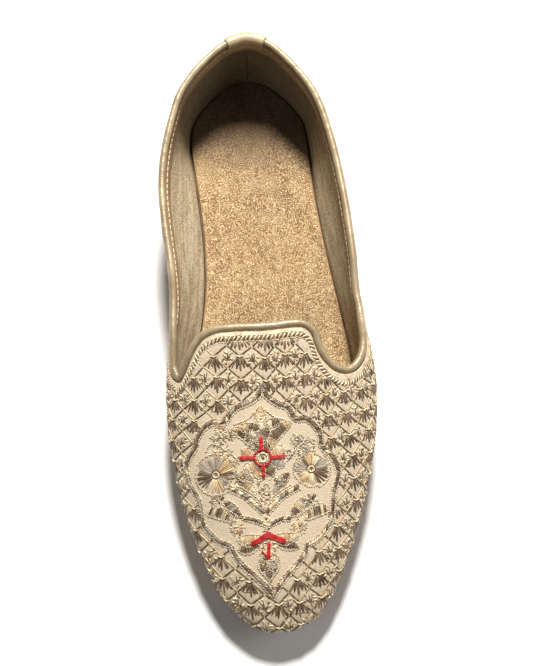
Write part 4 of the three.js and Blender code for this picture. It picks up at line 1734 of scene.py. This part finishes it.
def cord_tree():
    tree, given = new_tree("couching", Radius="Float", Sides="Int", Finish="Material")
    curve = tree_node(tree, "GeometryNodeMeshToCurve", {}, {"Mesh": given["Geometry"]})
    section = tree_node(tree, "GeometryNodeCurvePrimitiveCircle", {}, {
        "Resolution": given["Sides"], "Radius": given["Radius"],
    })
    swept = tree_node(tree, "GeometryNodeCurveToMesh", {}, {
        "Curve": curve.outputs[0], "Profile Curve": section.outputs[0], "Fill Caps": True,
    })
    smooth = tree_node(tree, "GeometryNodeSetShadeSmooth", {}, {"Geometry": swept.outputs[0]})
    return end_tree(tree, smooth.outputs[0], given["Finish"])


COUCHING = cord_tree()


def path_mesh(name, paths):
    """A mesh of loose edges, one chain for each path in millimetres."""
    points, edges = [], []
    for path in paths:
        start = len(points)
        points += [tuple(np.asarray(point) * MM) for point in path]
        edges += [(start + k, start + k + 1) for k in range(len(path) - 1)]
    mesh = bpy.data.meshes.new(name)
    mesh.from_pydata(points, edges, [])
    return mesh


def lay_cords(name, paths, radius, sides, finish, slot_name="thread"):
    cords = grown(name, path_mesh(name, paths), COUCHING, {
        "Radius": radius * MM, "Sides": sides, "Finish": finish,
    })
    declare(cords, slot_name)


# painted highlight and shade: a lit and a shaded copy of the same metal cord
CORD_FINISHES = {
    "dark": thread_finish("shaded_cord", (94, 73, 50), (154, 129, 96), 0.4, 0.4),
    "pale": thread_finish("highlit_cord", (182, 158, 120), (238, 218, 180), 0.35, 0.38),
}
CORD_RADIUS, CORD_SIDES = 0.33, 5
for kind, paths in CORD_PATHS.items():
    lay_cords(f"{kind}_cords", paths, CORD_RADIUS, CORD_SIDES, CORD_FINISHES[kind])

# %% [markdown]
# ## Trim at the heel and inside
# A short strip of gold leather is folded over the collar at the back seam. Inside, a pale running
# stitch holds the band, and the lining's two halves meet in a seam under the strip.

# %% Heel tab
TAB_THICKNESS, TAB_FOOT, TAB_INSIDE, TAB_COLUMNS, TAB_ARC = 0.8, 1.9, 7, 36, 18


def tab_section(number, spread):
    across = even_curve(RIB_TABLE[:, 0:2], number + 0.01) - even_curve(RIB_TABLE[:, 0:2], number - 0.01)
    across = np.array([-across[1], across[0], 0]) / np.linalg.norm(across)

    def out(reach, distance):
        return place(np.array(number), np.array(reach)) + across * distance
    middle = out(COLLAR_REACH, -WALL / 2) + (0, 0, PIPING_RADIUS + FIT_GAP)
    crown = PIPING_RADIUS + FIT_GAP + spread
    reaches = np.linspace(TAB_FOOT, COLLAR_REACH, 9)
    points = [out(reach, FIT_GAP + spread) for reach in reaches]
    for angle in np.linspace(0, math.pi, TAB_ARC + 1):
        points.append(middle + across * math.cos(angle) * crown + np.array((0, 0, math.sin(angle) * crown)))
    for drop in np.linspace(PIPING_RADIUS + FIT_GAP, TAB_INSIDE, 5):
        points.append(middle - across * (WALL / 2 + FIT_GAP + spread) - (0, 0, drop))
    return points


def tab_grid(thickness):
    columns = []
    for number in np.linspace(-1, 1, TAB_COLUMNS + 1):
        soft = 1 - 0.45 * abs(number) ** 14
        columns.append(tab_section(number, thickness * soft))
    return np.array(columns)


def make_tab():
    inner, outer = tab_grid(0.02), tab_grid(TAB_THICKNESS)
    rows, columns = inner.shape[:2]
    ring_of = [(r, 0) for r in range(rows)] + [(rows - 1, c) for c in range(1, columns)]
    ring_of += [(r, columns - 1) for r in range(rows - 2, -1, -1)]
    ring_of += [(0, c) for c in range(columns - 2, 0, -1)]
    plain = grid_faces(rows, columns, False, False)
    count = rows * columns
    edge = np.array([r * columns + c for r, c in ring_of])
    after = np.roll(edge, -1)
    rim = np.stack([edge, after, after + count, edge + count], axis=-1)
    faces = np.concatenate([plain, plain[:, ::-1] + count, rim[:, ::-1]])
    finish = leather_finish("tab_leather", (178, 156, 122), (206, 186, 150), 1100, 0.42, 0.2)
    points = np.concatenate([inner.reshape(-1, 3), outer.reshape(-1, 3)])
    piece = make_piece("back_tab", points, faces, finish, "trim_leather")
    face_outwards(piece)
    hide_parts("heel_tab")


def face_outwards(piece):
    mesh = bmesh.new()
    mesh.from_mesh(piece.data)
    bmesh.ops.recalc_face_normals(mesh, faces=mesh.faces)
    print(piece.name, "volume", round(mesh.calc_volume(signed=True) / MM ** 3), "cubic mm")
    mesh.to_mesh(piece.data)
    mesh.free()


make_tab()

# %% [markdown]
# A row of short pale stitches holds the strap, a steady distance below the piping. One dark seam
# runs down the middle of the heel inside.

# %% Band stitches and the lining's seam


def dashes(turns_count, distance, depth, length, gap):
    """Straight dashes along the inside of the collar, as paths."""
    turns = np.arange(turns_count) / turns_count
    falls = band_falls(turns, [distance])
    line = layer(*at_falls(turns, falls), depth)[0]
    run = np.concatenate([[0], np.cumsum(np.linalg.norm(np.diff(line, axis=0), axis=1))])
    paths, at = [], 0.5
    while at + length < run[-1]:
        stops = np.linspace(at, at + length, 4)
        paths.append(np.stack([np.interp(stops, run, line[:, k]) for k in range(3)], axis=-1))
        at += length + gap
    return paths


def make_inside_seams():
    pale = thread_finish("pale_sewing", (214, 196, 160), (250, 240, 216), 0.0, 0.6)
    lay_cords("band_stitches", dashes(1200, 1.5, BAND_DEPTHS[1] + 0.12, 2.1, 0.9), 0.24, 6, pale)
    reaches = np.linspace(COLLAR_REACH + 0.16, 1.9, 24)
    seam = layer(np.zeros((len(reaches), 1)), reaches[:, None], LINING_DEPTHS[1] + 0.05)[:, 0]
    ridge = thread_finish("seam_thread", (104, 80, 52), (150, 120, 84), 0.0, 0.7)
    lay_cords("lining_seam", [seam], 0.3, 8, ridge, "plush")


make_inside_seams()

# %% [markdown]
# ## Heel lift
# The low heel is a stack of leather pieces pared to one outline and rounded a little at each edge.

# %% Stacked lifts
LIFTS, LIFT_EDGE, HEEL_INSET, LIFT_TOP = 3, 0.35, 0.6, 7.7


def lift_outline(inset, last):
    numbers = np.linspace(-last, last, 161)
    loop = foot_point(numbers, OUTSOLE_MARGIN - HEEL_INSET - inset, lambda s: s * 0)
    loop[:, 1] = np.maximum(loop[:, 1], along(HEEL_BREAST) + inset)
    return loop


def make_lift():
    numbers = np.linspace(0, TOE_ROW, 4401)
    foot_y = even_curve(RIB_TABLE[:, 3:5], numbers)[:, 1]
    last = numbers[np.argmax(foot_y <= along(HEEL_BREAST))]
    each = LIFT_TOP / LIFTS
    angles = np.linspace(0, math.pi / 2, 4)
    corner = [(LIFT_EDGE * (1 - math.sin(angle)), LIFT_EDGE * (1 - math.cos(angle))) for angle in angles]
    finish = leather_finish("heel_leather", (92, 64, 40), (128, 94, 60), 600, 0.62)
    rings = [(LIFT_EDGE, 0.0)]
    for k in range(LIFTS):
        rings += [(inset, k * each + drop) for inset, drop in corner[1:]]
        rings += [(inset, (k + 1) * each - drop) for inset, drop in corner[::-1]]
    points = []
    for inset, height in rings:
        loop = lift_outline(inset, last)
        loop[:, 2] = height
        points.append(loop)
    size = len(points[0])
    faces = grid_faces(len(rings), size, False, True).tolist()
    for start in (0, (len(rings) - 1) * size):
        for i in range(size // 2):
            face = [start + i, start + i + 1, start + size - 2 - i, start + size - 1 - i]
            face = list(dict.fromkeys(face))
            if len(face) > 2:
                faces.append(face)
    mesh = bpy.data.meshes.new("heel_stack")
    mesh.from_pydata((np.concatenate(points) * MM).tolist(), [], faces)
    mesh.materials.append(finish)
    mesh.shade_smooth()
    piece = bpy.data.objects.new("heel_stack", mesh)
    bpy.context.collection.objects.link(piece)
    weld(piece)
    face_outwards(piece)
    declare(piece, "heel_leather", "heel_lift")


make_lift()
